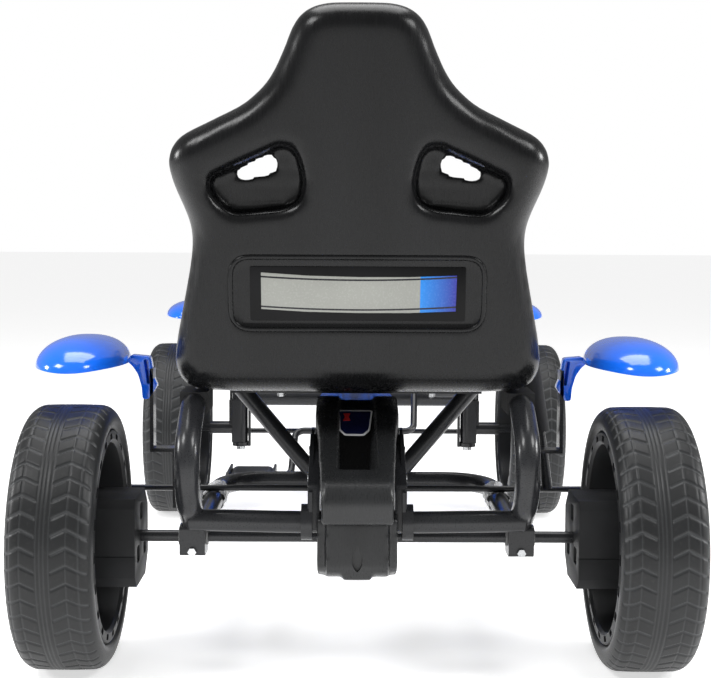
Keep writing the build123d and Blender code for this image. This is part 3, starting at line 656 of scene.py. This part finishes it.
def tyre_mesh(name, pitch_count, deep):
    """Tyre spun from its section about X at the origin, with chevron grooves pressed into the tread."""
    half = TYRE_W / 2
    crown = []
    for k in range(CROWN_COLUMNS + 1):
        x = -half + TYRE_W * k / CROWN_COLUMNS
        edge = max(0.0, abs(x) - (half - SHOULDER_R))
        drop = SHOULDER_R - math.sqrt(max(0.0, SHOULDER_R ** 2 - edge ** 2)) + 0.0012 * (x / half) ** 2
        crown.append((x, TYRE_R - drop))
    wall = [(half - 0.0005, TYRE_R - 0.0215), (half - 0.003, TYRE_R - 0.0235),
            (half - 0.004, TYRE_R - 0.0255), (half - 0.010, TYRE_R - 0.0255),
            (half - 0.012, TYRE_R - 0.022)]
    section = [(-x, r) for x, r in reversed(wall)] + crown + wall
    obj = lathed(name, section, pitch_count * STEPS_PER_PITCH)
    groove = obj.data.attributes.new("groove", "FLOAT", "POINT")
    for vertex in obj.data.vertices:
        x, y, z = vertex.co
        radius = math.hypot(y, z)
        if radius < TYRE_R - TREAD_BAND:
            continue
        pitches = math.atan2(-z, -y) / (2 * math.pi) * pitch_count
        cut = groove_depth((x + half) / TYRE_W, pitches, deep)
        groove.data[vertex.index].value = cut / deep
        vertex.co = (x, y * (1 - cut / radius), z * (1 - cut / radius))
    pick(obj)
    bpy.ops.object.shade_smooth()
    return obj


class KART_OT_tyres(bpy.types.Operator):
    """Four moulded tyres with two rows of chevrons beside a ribbed centre band."""

    bl_idname = "kart.tyres"
    bl_label = "Tyres"

    def execute(self, context):
        sizes = context.scene.kart_sizes
        first = tyre_mesh("rear_tyre_right_skin", sizes.tread_pitch, sizes.tread_depth)
        wear(first, FINISH["tyre"])
        source = first.data.copy()
        for end, hand, x, y, body in WHEELS:
            name = f"{end}_tyre_{hand}_skin"
            if end == "rear" and hand == "right":
                tyre = first
            else:
                tyre = first.copy()
                tyre.data = source.copy()
                context.collection.objects.link(tyre)
                rename(tyre, name)
            tyre.location = (x, y, TYRE_R)
        for end, hand, x, y, body in WHEELS:
            tyre = bake_place(bpy.data.objects[f"{end}_tyre_{hand}_skin"])
            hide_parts(f"{end}_tyre_{hand}")
            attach(tyre, body)
        bpy.data.meshes.remove(source)
        return {"FINISHED"}


# ---- rims and hubs ----
RIM_LOW, RIM_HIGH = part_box("rear_rim_right")
RIM_R = (RIM_HIGH[2] - RIM_LOW[2]) / 2
RIM_WINDOWS = 5
WINDOW_REACH = 0.062
FLANGE_POCKETS = 20


def rim_mesh(name):
    """Dished rim, its hub towards +X, with five windows, ribs on the dish and pockets in the inner flange."""
    lip = RIM_R / MM
    profile = in_metres([(-40, 99), (-39.5, lip - 1), (-38.5, lip), (-36, lip), (-34, 100), (34, 100),
                         (36, lip), (38.5, lip), (39.5, lip - 1), (40, 97), (38.5, 94.5), (27, 93),
                         (24, 88), (20, 36), (21.5, 33), (29, 30.5), (30, 29), (30, 6.05),
                         (-18, 6.05), (-18, 25), (-17, 26), (9, 30), (11, 32), (19, 88), (15, 92.5),
                         (-30, 95), (-37, 96)])
    rim = lathed(name, profile)
    for k in range(RIM_WINDOWS):
        window = cross_bar(0.0135, 0.06, (0.018, 0, 0))
        for vertex in window.data.vertices:
            vertex.co.y += math.copysign(0.013, vertex.co.y) if abs(vertex.co.y) > 1e-6 else 0
            vertex.co.y += WINDOW_REACH
        window.rotation_euler = (math.radians(360 / RIM_WINDOWS * k + 90), 0, 0)
        combine(rim, bake_place(window), "DIFFERENCE")
    pockets = []
    for k in range(FLANGE_POCKETS):
        pocket = rounded_block("pocket", (-0.037, 0.1025, 0), (0.010, 0.006, 0.011), 0.001, 2)
        pocket.rotation_euler = (math.radians(360 / FLANGE_POCKETS * k), 0, 0)
        pockets.append(bake_place(pocket))
    clear_selection()
    for pocket in pockets:
        pocket.select_set(True)
    bpy.context.view_layer.objects.active = pockets[0]
    bpy.ops.object.join()
    combine(rim, pockets[0], "DIFFERENCE")
    for k in range(RIM_WINDOWS):
        rib = rounded_block("rib", (0.004, WINDOW_REACH, 0), (0.016, 0.062, 0.0035), 0.001, 2)
        rib.rotation_euler = (math.radians(360 / RIM_WINDOWS * k + 54), 0, 0)
        combine(rim, bake_place(rib), "UNION")
    return crisp(rim, 35)


class KART_OT_rims(bpy.types.Operator):
    """Dished rims with windows and flange pockets, and bevelled drive blocks on the rear pair."""

    bl_idname = "kart.rims"
    bl_label = "Rims"

    def execute(self, context):
        first = wear(rim_mesh("rim_master"), FINISH["rim"])
        for end, hand, x, y, body in WHEELS:
            if hand == "right":
                rim = first.copy()
                rim.data = first.data.copy()
                context.collection.objects.link(rim)
                rename(rim, f"{end}_rim_{hand}_skin")
            else:
                rim = mirror_copy(first, f"{end}_rim_{hand}_skin")
            rim.location = (x, y, TYRE_R)
            bake_place(rim)
            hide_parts(f"{end}_rim_{hand}")
            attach(rim, body)
        bpy.data.objects.remove(first, do_unlink=True)
        self.blocks()
        return {"FINISHED"}

    def blocks(self):
        """Drive blocks: eight-sided in section, with a seam line and a recessed inner face."""
        low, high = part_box("hub_block_right")
        reach = (high[2] - low[2]) / 2 - 0.0015
        cut = 0.020
        outline = [(-reach, -reach + 0.012), (-reach, reach - 0.009), (-reach + 0.006, reach),
                   (reach - cut, reach), (reach, reach - cut), (reach, -reach + cut), (reach - cut, -reach),
                   (-reach + 0.012, -reach)]
        block = prism("hub_block_right_skin", outline, 0, low[0] + 0.003, high[0])
        seam = rounded_block("seam", (low[0] + 0.04, -reach, -0.012), (0.2, 0.0016, 0.0012), 0.0004, 1)
        combine(block, seam, "DIFFERENCE")
        for dy, dz in ((0.0, 0.026), (0.022, -0.014), (-0.022, -0.014)):
            pit = rounded_block("pit", (low[0], dy, dz), (0.022, 0.017, 0.017), 0.003, 2)
            combine(block, pit, "DIFFERENCE")
        combine(block, cross_bar(0.0061, 0.4, (0, 0, 0), 48), "DIFFERENCE")
        apply_modifier(block, "BEVEL", width=0.0012, segments=2, limit_method="ANGLE")
        wear(crisp(block, 35), FINISH["hub"])
        block.location = (0, REAR_Y, TYRE_R)
        bake_place(block)
        left = mirror_copy(block, "hub_block_left_skin")
        for piece, hand in ((block, "right"), (left, "left")):
            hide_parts(f"hub_block_{hand}")
            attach(piece, "rear_axle_unit")


# ---- mudguards ----
REAR_GUARD_HALF = 0.046
FRONT_GUARD_HALF = 0.036
FRONT_GUARD_IN = 0.015
FRONT_GUARD_RISE = 0.024
GUARD_SQUARENESS = 0.86
GUARD_HEM = 0.002


def mudguard(name, low, high, wall):
    """Domed leaf over a wheel, open below, with its rear edge sagging a little."""
    centre = (low + high) / 2
    half_w, half_l, rise = (high[0] - low[0]) / 2, (high[1] - low[1]) / 2, high[2] - low[2]
    clear_selection()
    bpy.ops.mesh.primitive_uv_sphere_add(segments=96, ring_count=48, radius=1)
    obj = rename(bpy.context.object, name)
    bpy.ops.object.mode_set(mode="EDIT")
    bpy.ops.mesh.select_all(action="SELECT")
    bpy.ops.mesh.bisect(plane_co=(0, 0, 0), plane_no=(0, 0, 1), clear_inner=True, use_fill=False)
    bpy.ops.object.mode_set(mode="OBJECT")
    for vertex in obj.data.vertices:
        x, y, z = vertex.co
        wide = math.copysign(abs(x) ** GUARD_SQUARENESS, x)
        along = math.copysign(abs(y) ** GUARD_SQUARENESS, y)
        sag = GUARD_HEM * math.cos(math.pi * wide * 0.8) * max(0.0, -along) * (1 - z)
        height = low[2] + GUARD_HEM + (rise - GUARD_HEM) * z - sag
        vertex.co = (centre[0] + half_w * wide, centre[1] + half_l * along, height)
    apply_modifier(obj, "SOLIDIFY", thickness=wall, offset=-1.0)
    return crisp(obj, 50)


def lug(side):
    """Blue bolting lug inside a rear mudguard: two flanges with an open slot between, joined at the foot."""
    y0, y1 = REAR_Y + 0.1200, REAR_Y + 0.1408
    outline = in_metres([(252, 311), (230.4, 309), (226, 284), (222.5, 276), (226, 270), (231, 262),
                         (238, 262), (239, 276), (243, 290), (249, 299), (255, 304)])
    piece = prism("lug", round_corners([(side * x, z) for x, z in outline], 0.003, 3), 1, y0, y1)
    slot = in_metres([(231.5, 306), (236.5, 306), (233, 279), (229.5, 279)])
    mouth = round_corners([(side * x, z) for x, z in slot], 0.0015, 3)
    combine(piece, prism("slot", mouth, 1, y0 - 0.01, y1 - 0.004), "DIFFERENCE")
    apply_modifier(piece, "BEVEL", width=0.0006, segments=2, limit_method="ANGLE")
    return piece


class KART_OT_mudguards(bpy.types.Operator):
    """Four glossy domed mudguards with their bolted blue lugs."""

    bl_idname = "kart.mudguards"
    bl_label = "Mudguards"

    def execute(self, context):
        wall = context.scene.kart_sizes.fender_wall
        bodies = {"rear_fender_right": "chassis", "rear_fender_left": "chassis",
                  "front_fender_right": "knuckle_right_unit", "front_fender_left": "knuckle_left_unit"}
        boxes = {node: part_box(node) for node in bodies}
        for node, body in bodies.items():
            low, high = boxes[node]
            side = 1 if node.endswith("right") else -1
            if node.startswith("rear"):
                middle, half, foot = side * REAR_X, REAR_GUARD_HALF, boxes["front_fender_right"][0][2]
            else:
                middle, half = side * (FRONT_X - FRONT_GUARD_IN), FRONT_GUARD_HALF
                foot = high[2] - FRONT_GUARD_RISE
            low = np.array([middle - half, low[1], foot])
            high = np.array([middle + half, high[1], high[2]])
            guard = mudguard(node + "_shell", low, high, wall)
            if node.startswith("rear"):
                crisp(combine(guard, lug(side), "UNION"), 50)
            wear(guard, FINISH["blue"])
            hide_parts(node)
            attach(guard, body)
        return {"FINISHED"}


# ---- chain cover ----
COVER_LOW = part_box("chain_cover")[0]
TAIL_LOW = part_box("chain_cover_tail")[0]
HOOD_HALF, CHANNEL_HALF, HOOD_INSIDE_HALF = 0.044, 0.0195, 0.0385
TAIL_FACE_HALF, TAIL_CHEEK_HALF, TAIL_INSIDE_HALF, TAIL_TAB_HALF = 0.0305, 0.0395, 0.037, 0.014
STRUT_R = 0.0115


class KART_OT_cover(bpy.types.Operator):
    """Moulded chain hood with raised side ribs, a bulging nose and a tail box below."""

    bl_idname = "kart.cover"
    bl_label = "Chain cover"

    def execute(self, context):
        voxel = context.scene.kart_sizes.cover_voxel
        rear = COVER_LOW[1]
        outline = [(rear + 0.004, 0.165), (rear - 0.002, 0.192), (rear + 0.012, 0.210), (rear + 0.034, 0.214),
                   (REAR_Y + 0.060, 0.262), (REAR_Y + 0.110, 0.268), (REAR_Y + 0.20, 0.256),
                   (REAR_Y + 0.60, 0.222), (REAR_Y + 0.60, 0.160), (REAR_Y + 0.02, 0.172)]
        hood = prism("hood", round_corners(outline, 0.012), 0, -HOOD_HALF, HOOD_HALF)
        hollow = [(rear + 0.010, 0.120), (rear + 0.007, 0.188), (rear + 0.034, 0.200),
                  (REAR_Y + 0.064, 0.249), (REAR_Y + 0.11, 0.255), (REAR_Y + 0.20, 0.246),
                  (REAR_Y + 0.62, 0.213), (REAR_Y + 0.62, 0.120)]
        groove = [(rear + 0.036, 0.235), (REAR_Y + 0.055, 0.40), (REAR_Y + 0.64, 0.40),
                  (REAR_Y + 0.64, 0.2175), (REAR_Y + 0.20, 0.2515), (REAR_Y + 0.11, 0.2635),
                  (REAR_Y + 0.060, 0.2570), (rear + 0.044, 0.2095)]
        combine(hood, prism("channel", groove, 0, -CHANNEL_HALF, CHANNEL_HALF), "DIFFERENCE")
        for side in (-1, 1):
            taper = [(side * 0.050, REAR_Y - 0.12), (side * 0.034, REAR_Y - 0.12),
                     (side * 0.040, REAR_Y + 0.01), (side * 0.050, REAR_Y + 0.10)]
            combine(hood, prism("taper", taper, 2, 0.15, 0.30), "DIFFERENCE")
        skin(hood, voxel, 7)
        combine(hood, prism("inside", hollow, 0, -HOOD_INSIDE_HALF, HOOD_INSIDE_HALF), "DIFFERENCE")
        for side in (-1, 1):
            start = Vector((side * 0.050, REAR_Y + 0.275, 0.150))
            end = Vector((side * 0.140, REAR_Y + 0.251, 0.262))
            clear_selection()
            bpy.ops.mesh.primitive_cylinder_add(vertices=32, radius=STRUT_R, depth=(end - start).length,
                                                location=(start + end) / 2)
            pipe = bpy.context.object
            pipe.rotation_euler = (end - start).to_track_quat("Z", "Y").to_euler()
            bake_place(pipe)
            combine(hood, pipe, "DIFFERENCE")
        wear(crisp(hood, 42), FINISH["cover"])
        rename(hood, "chain_hood_shell")
        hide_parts("chain_cover")
        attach(hood, "chassis")
        for hand, side in (("left", -1), ("right", 1)):
            outline = [(REAR_Y - 0.050, 0.150), (REAR_Y - 0.018, 0.150), (REAR_Y + 0.035, 0.185),
                       (REAR_Y + 0.052, 0.236), (REAR_Y - 0.046, 0.196)]
            near, far = sorted((side * 0.0375, side * 0.0495))
            spacer = prism(f"bracket_spacer_{hand}", round_corners(outline, 0.006), 0, near, far)
            apply_modifier(spacer, "BEVEL", width=0.003, segments=3, limit_method="ANGLE")
            wear(crisp(spacer, 42), FINISH["coat"])
            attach(spacer, "chassis")
        self.tail(voxel)
        return {"FINISHED"}

    def tail(self, voxel):
        """Tail box: outer cheeks, a proud middle face with a leaf groove and a bottom tab."""
        back = TAIL_LOW[1]
        face = [(back + 0.002, 0.1680), (back - 0.002, 0.119), (back + 0.006, 0.113),
                (REAR_Y - 0.03, 0.100), (REAR_Y + 0.04, 0.100), (REAR_Y + 0.04, 0.1680)]
        box = prism("tail", round_corners(face, 0.004), 0, -TAIL_FACE_HALF, TAIL_FACE_HALF)
        cheeks = [(back + 0.012, 0.1680), (back + 0.010, 0.121), (back + 0.018, 0.114),
                  (REAR_Y - 0.03, 0.102), (REAR_Y + 0.038, 0.102), (REAR_Y + 0.038, 0.1680)]
        sides = prism("cheeks", round_corners(cheeks, 0.004), 0, -TAIL_CHEEK_HALF, TAIL_CHEEK_HALF)
        combine(box, sides, "UNION")
        tab = [(back, 0.122), (back + 0.002, 0.110), (REAR_Y - 0.03, 0.0965), (REAR_Y, 0.0965),
               (REAR_Y, 0.104), (back + 0.03, 0.122)]
        combine(box, prism("tab", tab, 0, -TAIL_TAB_HALF, TAIL_TAB_HALF), "UNION")
        skin(box, voxel * 0.8, 5)
        hollow = [(back + 0.014, 0.20), (back + 0.014, 0.126), (back + 0.022, 0.120),
                  (REAR_Y - 0.028, 0.107), (REAR_Y + 0.06, 0.107), (REAR_Y + 0.06, 0.20)]
        combine(box, prism("inside", hollow, 0, -TAIL_INSIDE_HALF, TAIL_INSIDE_HALF), "DIFFERENCE")
        leaf = [(0.0052 * math.sin(math.pi * (k / 12) ** 0.8) * s, 0.118 + 0.028 * k / 12)
                for s, ks in ((1, range(13)), (-1, range(11, 0, -1))) for k in ks]
        combine(box, prism("leaf", leaf, 1, back - 0.01, back + 0.0035), "DIFFERENCE")
        for y, z, radius in ((REAR_Y, TYRE_R, 0.008), (REAR_Y - 0.038, 0.158, 0.0125)):
            combine(box, cross_bar(radius, 0.2, (0, y, z)), "DIFFERENCE")
        wear(crisp(box, 42), FINISH["cover"])
        rename(box, "chain_tail_shell")
        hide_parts("chain_cover_tail")
        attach(box, "chassis")


# ---- plates and stickers ----
COVER_SLOPE = math.atan2(0.050, (REAR_Y + 0.060) - (COVER_LOW[1] + 0.034))
EMBLEM_PLACE = (-0.002, REAR_Y + 0.033, 0.2478)


def banded(name, face, band, line, band_x, high_x, mid_z, half_h):
    """Printed film: a pale face between two thin bowed lines, and a coloured band at its right end."""
    material = moulded(name, face, lighter(face, 1.12), 0.26, 0.04, 500, 0.04, shine=0.3)
    tree = material.node_tree
    base = tree.nodes["Principled BSDF"].inputs["Base Color"]
    place = tree.nodes.new("ShaderNodeSeparateXYZ")
    tree.links.new(tree.nodes.new("ShaderNodeTexCoord").outputs["Object"], place.inputs["Vector"])
    across, height = place.outputs["X"], place.outputs["Z"]
    shade = tree.nodes.new("ShaderNodeValToRGB")
    for stop, colour in zip(shade.color_ramp.elements, (band, (0.03, 0.03, 0.30))):
        stop.color = (*colour, 1)
    tree.links.new(remapped(tree, across, band_x, high_x, 0, 1), shade.inputs["Fac"])
    inside = calculated(tree, "GREATER_THAN", across, band_x)
    colour = tinted(tree, inside, base.links[0].from_socket, shade.outputs["Color"])
    square = calculated(tree, "MULTIPLY", across, across)
    bow = calculated(tree, "MULTIPLY_ADD", square, 0.35, mid_z)
    away = calculated(tree, "ABSOLUTE", calculated(tree, "SUBTRACT", height, bow))
    stripe = calculated(tree, "COMPARE", away, half_h * 0.80, half_h * 0.045)
    tree.links.new(tinted(tree, stripe, colour, line), base)
    return material


def leaning_plate(name, corners, radius, proud, thick):
    """Thin plate on the leaning seat back, from its outline in X and Z."""
    plate = lean_back(prism(name, round_corners(corners, radius, 3), 1, -proud - thick, -proud))
    apply_modifier(plate, "BEVEL", width=0.0002, segments=2, limit_method="ANGLE")
    return crisp(plate, 40)


class KART_OT_decals(bpy.types.Operator):
    """Rear plate on its gloss backing, and a small blank emblem on the chain cover."""

    bl_idname = "kart.decals"
    bl_label = "Plate and emblem"

    def execute(self, context):
        plate_face = context.scene.kart_colours.plate
        backing = in_metres([(-107, 414), (106, 414), (106, 360), (-107, 360)])
        back = leaning_plate("plate_backing", backing, 0.002, -0.0045, 0.0008)
        wear(back, moulded("backing_gloss", (0.004, 0.004, 0.004), (0.007, 0.007, 0.008), 0.2, 0.03,
                           300, 0.03, shine=0.12))
        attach(back, "chassis")
        face = in_metres([(-96, 408), (-50, 405), (0, 403.8), (50, 404), (97, 405.8), (96.5, 370),
                          (50, 368.2), (0, 368), (-50, 369), (-96, 371.6)])
        plate = leaning_plate("rear_plate", face, 0.0006, -0.0036, 0.0008)
        wear(plate, banded("plate_print", plate_face, (0.02, 0.24, 0.72), (0.012, 0.012, 0.016), 0.061,
                           0.097, 0.3859, 0.0185))
        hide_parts("seat_plate")
        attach(plate, "chassis")
        shield = in_metres([(-18.5, 28), (18.5, 28), (15, -16), (9, -27), (-11, -27), (-17, -16)])
        field = [(x * 0.90, z * 0.90) for x, z in shield]
        mark = in_metres([(-13, 20), (-5, 20), (-7, 12), (-5, 4), (-13, 4), (-11, 12)])
        strip = in_metres([(-18.5, 29), (18.5, 29), (13.5, -102), (-13.5, -102)])
        layers = [("cover_inlay", strip, 0.001, 0.0004, (0.003, 0.003, 0.003)),
                  ("emblem_border", shield, 0.002, 0.0007, (0.75, 0.75, 0.75)),
                  ("emblem_field", field, 0.002, 0.0011, (0.006, 0.008, 0.040)),
                  ("emblem_mark", mark, 0.001, 0.0014, (0.45, 0.02, 0.02))]
        for name, shape, corner, height, colour in layers:
            points = round_corners(shape, corner, 3)
            badge = prism(name, points, 1, -height, 0.0)
            badge.rotation_euler = (COVER_SLOPE - math.pi / 2, 0, 0)
            badge.location = EMBLEM_PLACE
            bake_place(badge)
            wear(badge, moulded(name + "_ink", colour, lighter(colour, 1.2), 0.2, 0.03, 400, 0.04,
                                coat=0.4))
            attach(badge, "chassis")
        return {"FINISHED"}


# ---- nose, pedals and wrapped tube ends ----
class KART_OT_nose(bpy.types.Operator):
    """Smooth hollow nose fairing ahead of the front beam."""

    bl_idname = "kart.nose"
    bl_label = "Nose fairing"

    def execute(self, context):
        low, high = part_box("front_fairing")
        top, front = high[2], high[1]
        side = [(low[1], low[2] + 0.040), (low[1] + 0.09, low[2] + 0.012), (front, low[2]),
                (front - 0.005, low[2] + 0.035), (front - 0.075, low[2] + 0.095),
                (low[1] + 0.014, top), (low[1], top - 0.005)]
        half = high[0]
        plan = [(-half, low[1]), (half, low[1]), (half - 0.008, front - 0.075), (half - 0.058, front),
                (0.058 - half, front), (0.008 - half, front - 0.075)]
        nose = prism("nose_fairing_shell", round_corners(side, 0.018), 0, -half, half)
        column = prism("plan", round_corners(plan, 0.024), 2, low[2] - 0.05, top + 0.05)
        combine(nose, column, "INTERSECT")
        for x in (-0.062, 0.062):
            dent = rounded_block("dent", (x, front - 0.012, low[2] + 0.048), (0.060, 0.020, 0.024),
                                 0.006, 4)
            combine(nose, dent, "DIFFERENCE")
        skin(nose, 0.0032, 9)
        inner = [(x * 0.965, max(low[1] + 0.003, min(y, front - 0.009))) for x, y in plan]
        combine(nose, prism("core", inner, 2, low[2] - 0.02, low[2] + 0.030), "DIFFERENCE")
        wear(crisp(nose, 45), FINISH["blue"])
        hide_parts("front_fairing")
        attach(nose, "chassis")
        return {"FINISHED"}


class KART_OT_pedals(bpy.types.Operator):
    """Two ribbed drum pedals with end flanges."""

    bl_idname = "kart.pedals"
    bl_label = "Pedals"

    def execute(self, context):
        for hand in ("left", "right"):
            low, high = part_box(f"pedal_{hand}")
            centre, size = (low + high) / 2, high - low
            drum = (size[0] - 0.006, size[1] - 0.004, size[2] - 0.004)
            body = rounded_block(f"pedal_{hand}_skin", centre, drum, 0.009, 5)
            for k in range(7):
                y = centre[1] - size[1] / 2 + 0.013 + k * (size[1] - 0.026) / 6
                for z in (low[2], high[2]):
                    slot = rounded_block("slot", (centre[0], y, z), (size[0] - 0.022, 0.0035, 0.0085),
                                         0.001, 2)
                    combine(body, slot, "DIFFERENCE")
            for x in (low[0] + 0.002, high[0] - 0.002):
                flange = rounded_block("flange", (x, centre[1], centre[2]), (0.004, size[1], size[2]),
                                       0.0018, 3)
                combine(body, flange, "UNION")
            combine(body, cross_bar(0.00505, 0.2, centre), "DIFFERENCE")
            wear(crisp(body, 40), FINISH["pedal"])
            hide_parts(f"pedal_{hand}")
            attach(body, f"pedal_{hand}_unit")
        return {"FINISHED"}


class KART_OT_sleeves(bpy.types.Operator):
    """Crumpled clear film round the two side runs of the sub-frame tube."""

    bl_idname = "kart.sleeves"
    bl_label = "Film sleeves"

    def execute(self, context):
        for hand, side in (("left", -1), ("right", 1)):
            start = Vector((side * 0.163, REAR_Y + 0.158, 0.1417))
            end = Vector((side * 0.163, REAR_Y + 0.212, 0.1427))
            clear_selection()
            bpy.ops.mesh.primitive_grid_add(x_subdivisions=36, y_subdivisions=48, size=1)
            film = rename(context.object, f"film_sleeve_{hand}")
            for vertex in film.data.vertices:
                share, angle = vertex.co.x + 0.5, (vertex.co.y + 0.5) * 2 * math.pi
                crease = math.sin(5 * angle + 9 * share) + math.sin(7 * angle - 31 * share)
                radius = 0.0124 + 0.0007 * (crease + math.sin(61 * share))
                centre = start.lerp(end, share)
                vertex.co = (centre.x + radius * math.cos(angle), centre.y,
                             centre.z + radius * math.sin(angle))
            bpy.ops.object.mode_set(mode="EDIT")
            bpy.ops.mesh.select_all(action="SELECT")
            bpy.ops.mesh.remove_doubles(threshold=0.00003)
            bpy.ops.mesh.normals_make_consistent(inside=False)
            bpy.ops.object.mode_set(mode="OBJECT")
            apply_modifier(film, "SOLIDIFY", thickness=0.0003, offset=-1.0)
            wear(crisp(film, 30), FINISH["film"])
            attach(film, "chassis")
        return {"FINISHED"}


# ---- finishes on the CAD parts ----
FINISHED_NODES = {
    "coat": ("spine_frame", "rear_bow_left", "rear_bow_right", "rear_cross_tube", "subframe_tube",
             "seat_strut_left", "seat_strut_right", "front_beam", "axle_clamps", "cover_brackets",
             "seat_bracket", "rear_stays", "fairing_bracket", "steering_head", "brake_hangers", "rear_axle",
             "steering_column", "knuckle_left", "knuckle_right", "front_stay_left", "front_stay_right",
             "tie_rod_left", "tie_rod_right", "brake_shaft", "crank"),
    "zinc": ("kingpins", "hex_bolts", "bracket_screws"),
    "oiled": ("chain", "chainring", "rear_sprocket"),
    "nylon": ("bushes",),
    "foam": ("brake_grip", "seat_pads", "brake_pads", "steering_wheel"),
    "hub": ("rear_caps", "front_cap_left", "front_cap_right"),
}


class KART_OT_finishes(bpy.types.Operator):
    """Procedural finishes on the frame, drive, steering and wheels."""

    bl_idname = "kart.finishes"
    bl_label = "Finishes"

    def execute(self, context):
        for finish, nodes in FINISHED_NODES.items():
            dress(nodes, FINISH[finish])
        return {"FINISHED"}


class KART_PT_panel(bpy.types.Panel):
    """Sidebar list of the kart's pieces and settings."""

    bl_label = "Pedal kart"
    bl_idname = "KART_PT_panel"
    bl_space_type = "VIEW_3D"
    bl_region_type = "UI"
    bl_category = "Kart"

    def draw(self, context):
        for group in (context.scene.kart_colours, context.scene.kart_sizes):
            for key in group.bl_rna.properties.keys():
                if key not in ("rna_type", "name"):
                    self.layout.prop(group, key)
        for operator in OPERATORS:
            self.layout.operator(operator.bl_idname)


OPERATORS = (KART_OT_stage, KART_OT_seat, KART_OT_tyres, KART_OT_rims, KART_OT_mudguards, KART_OT_cover,
             KART_OT_decals, KART_OT_nose, KART_OT_pedals, KART_OT_sleeves, KART_OT_finishes)
CLASSES = (KartColours, KartSizes, *OPERATORS, KART_PT_panel)


def register():
    for item in CLASSES:
        bpy.utils.register_class(item)
    bpy.types.Scene.kart_colours = bpy.props.PointerProperty(type=KartColours)
    bpy.types.Scene.kart_sizes = bpy.props.PointerProperty(type=KartSizes)


def unregister():
    del bpy.types.Scene.kart_colours
    del bpy.types.Scene.kart_sizes
    for item in reversed(CLASSES):
        bpy.utils.unregister_class(item)


def main():
    """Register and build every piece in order."""
    register()
    FINISH.update(make_finishes(bpy.context.scene.kart_colours))
    bpy.ops.kart.stage()
    bpy.ops.kart.seat()
    bpy.ops.kart.tyres()
    bpy.ops.kart.rims()
    bpy.ops.kart.mudguards()
    bpy.ops.kart.cover()
    bpy.ops.kart.decals()
    bpy.ops.kart.nose()
    bpy.ops.kart.pedals()
    bpy.ops.kart.sleeves()
    bpy.ops.kart.finishes()


if __name__ == "__main__":
    main()
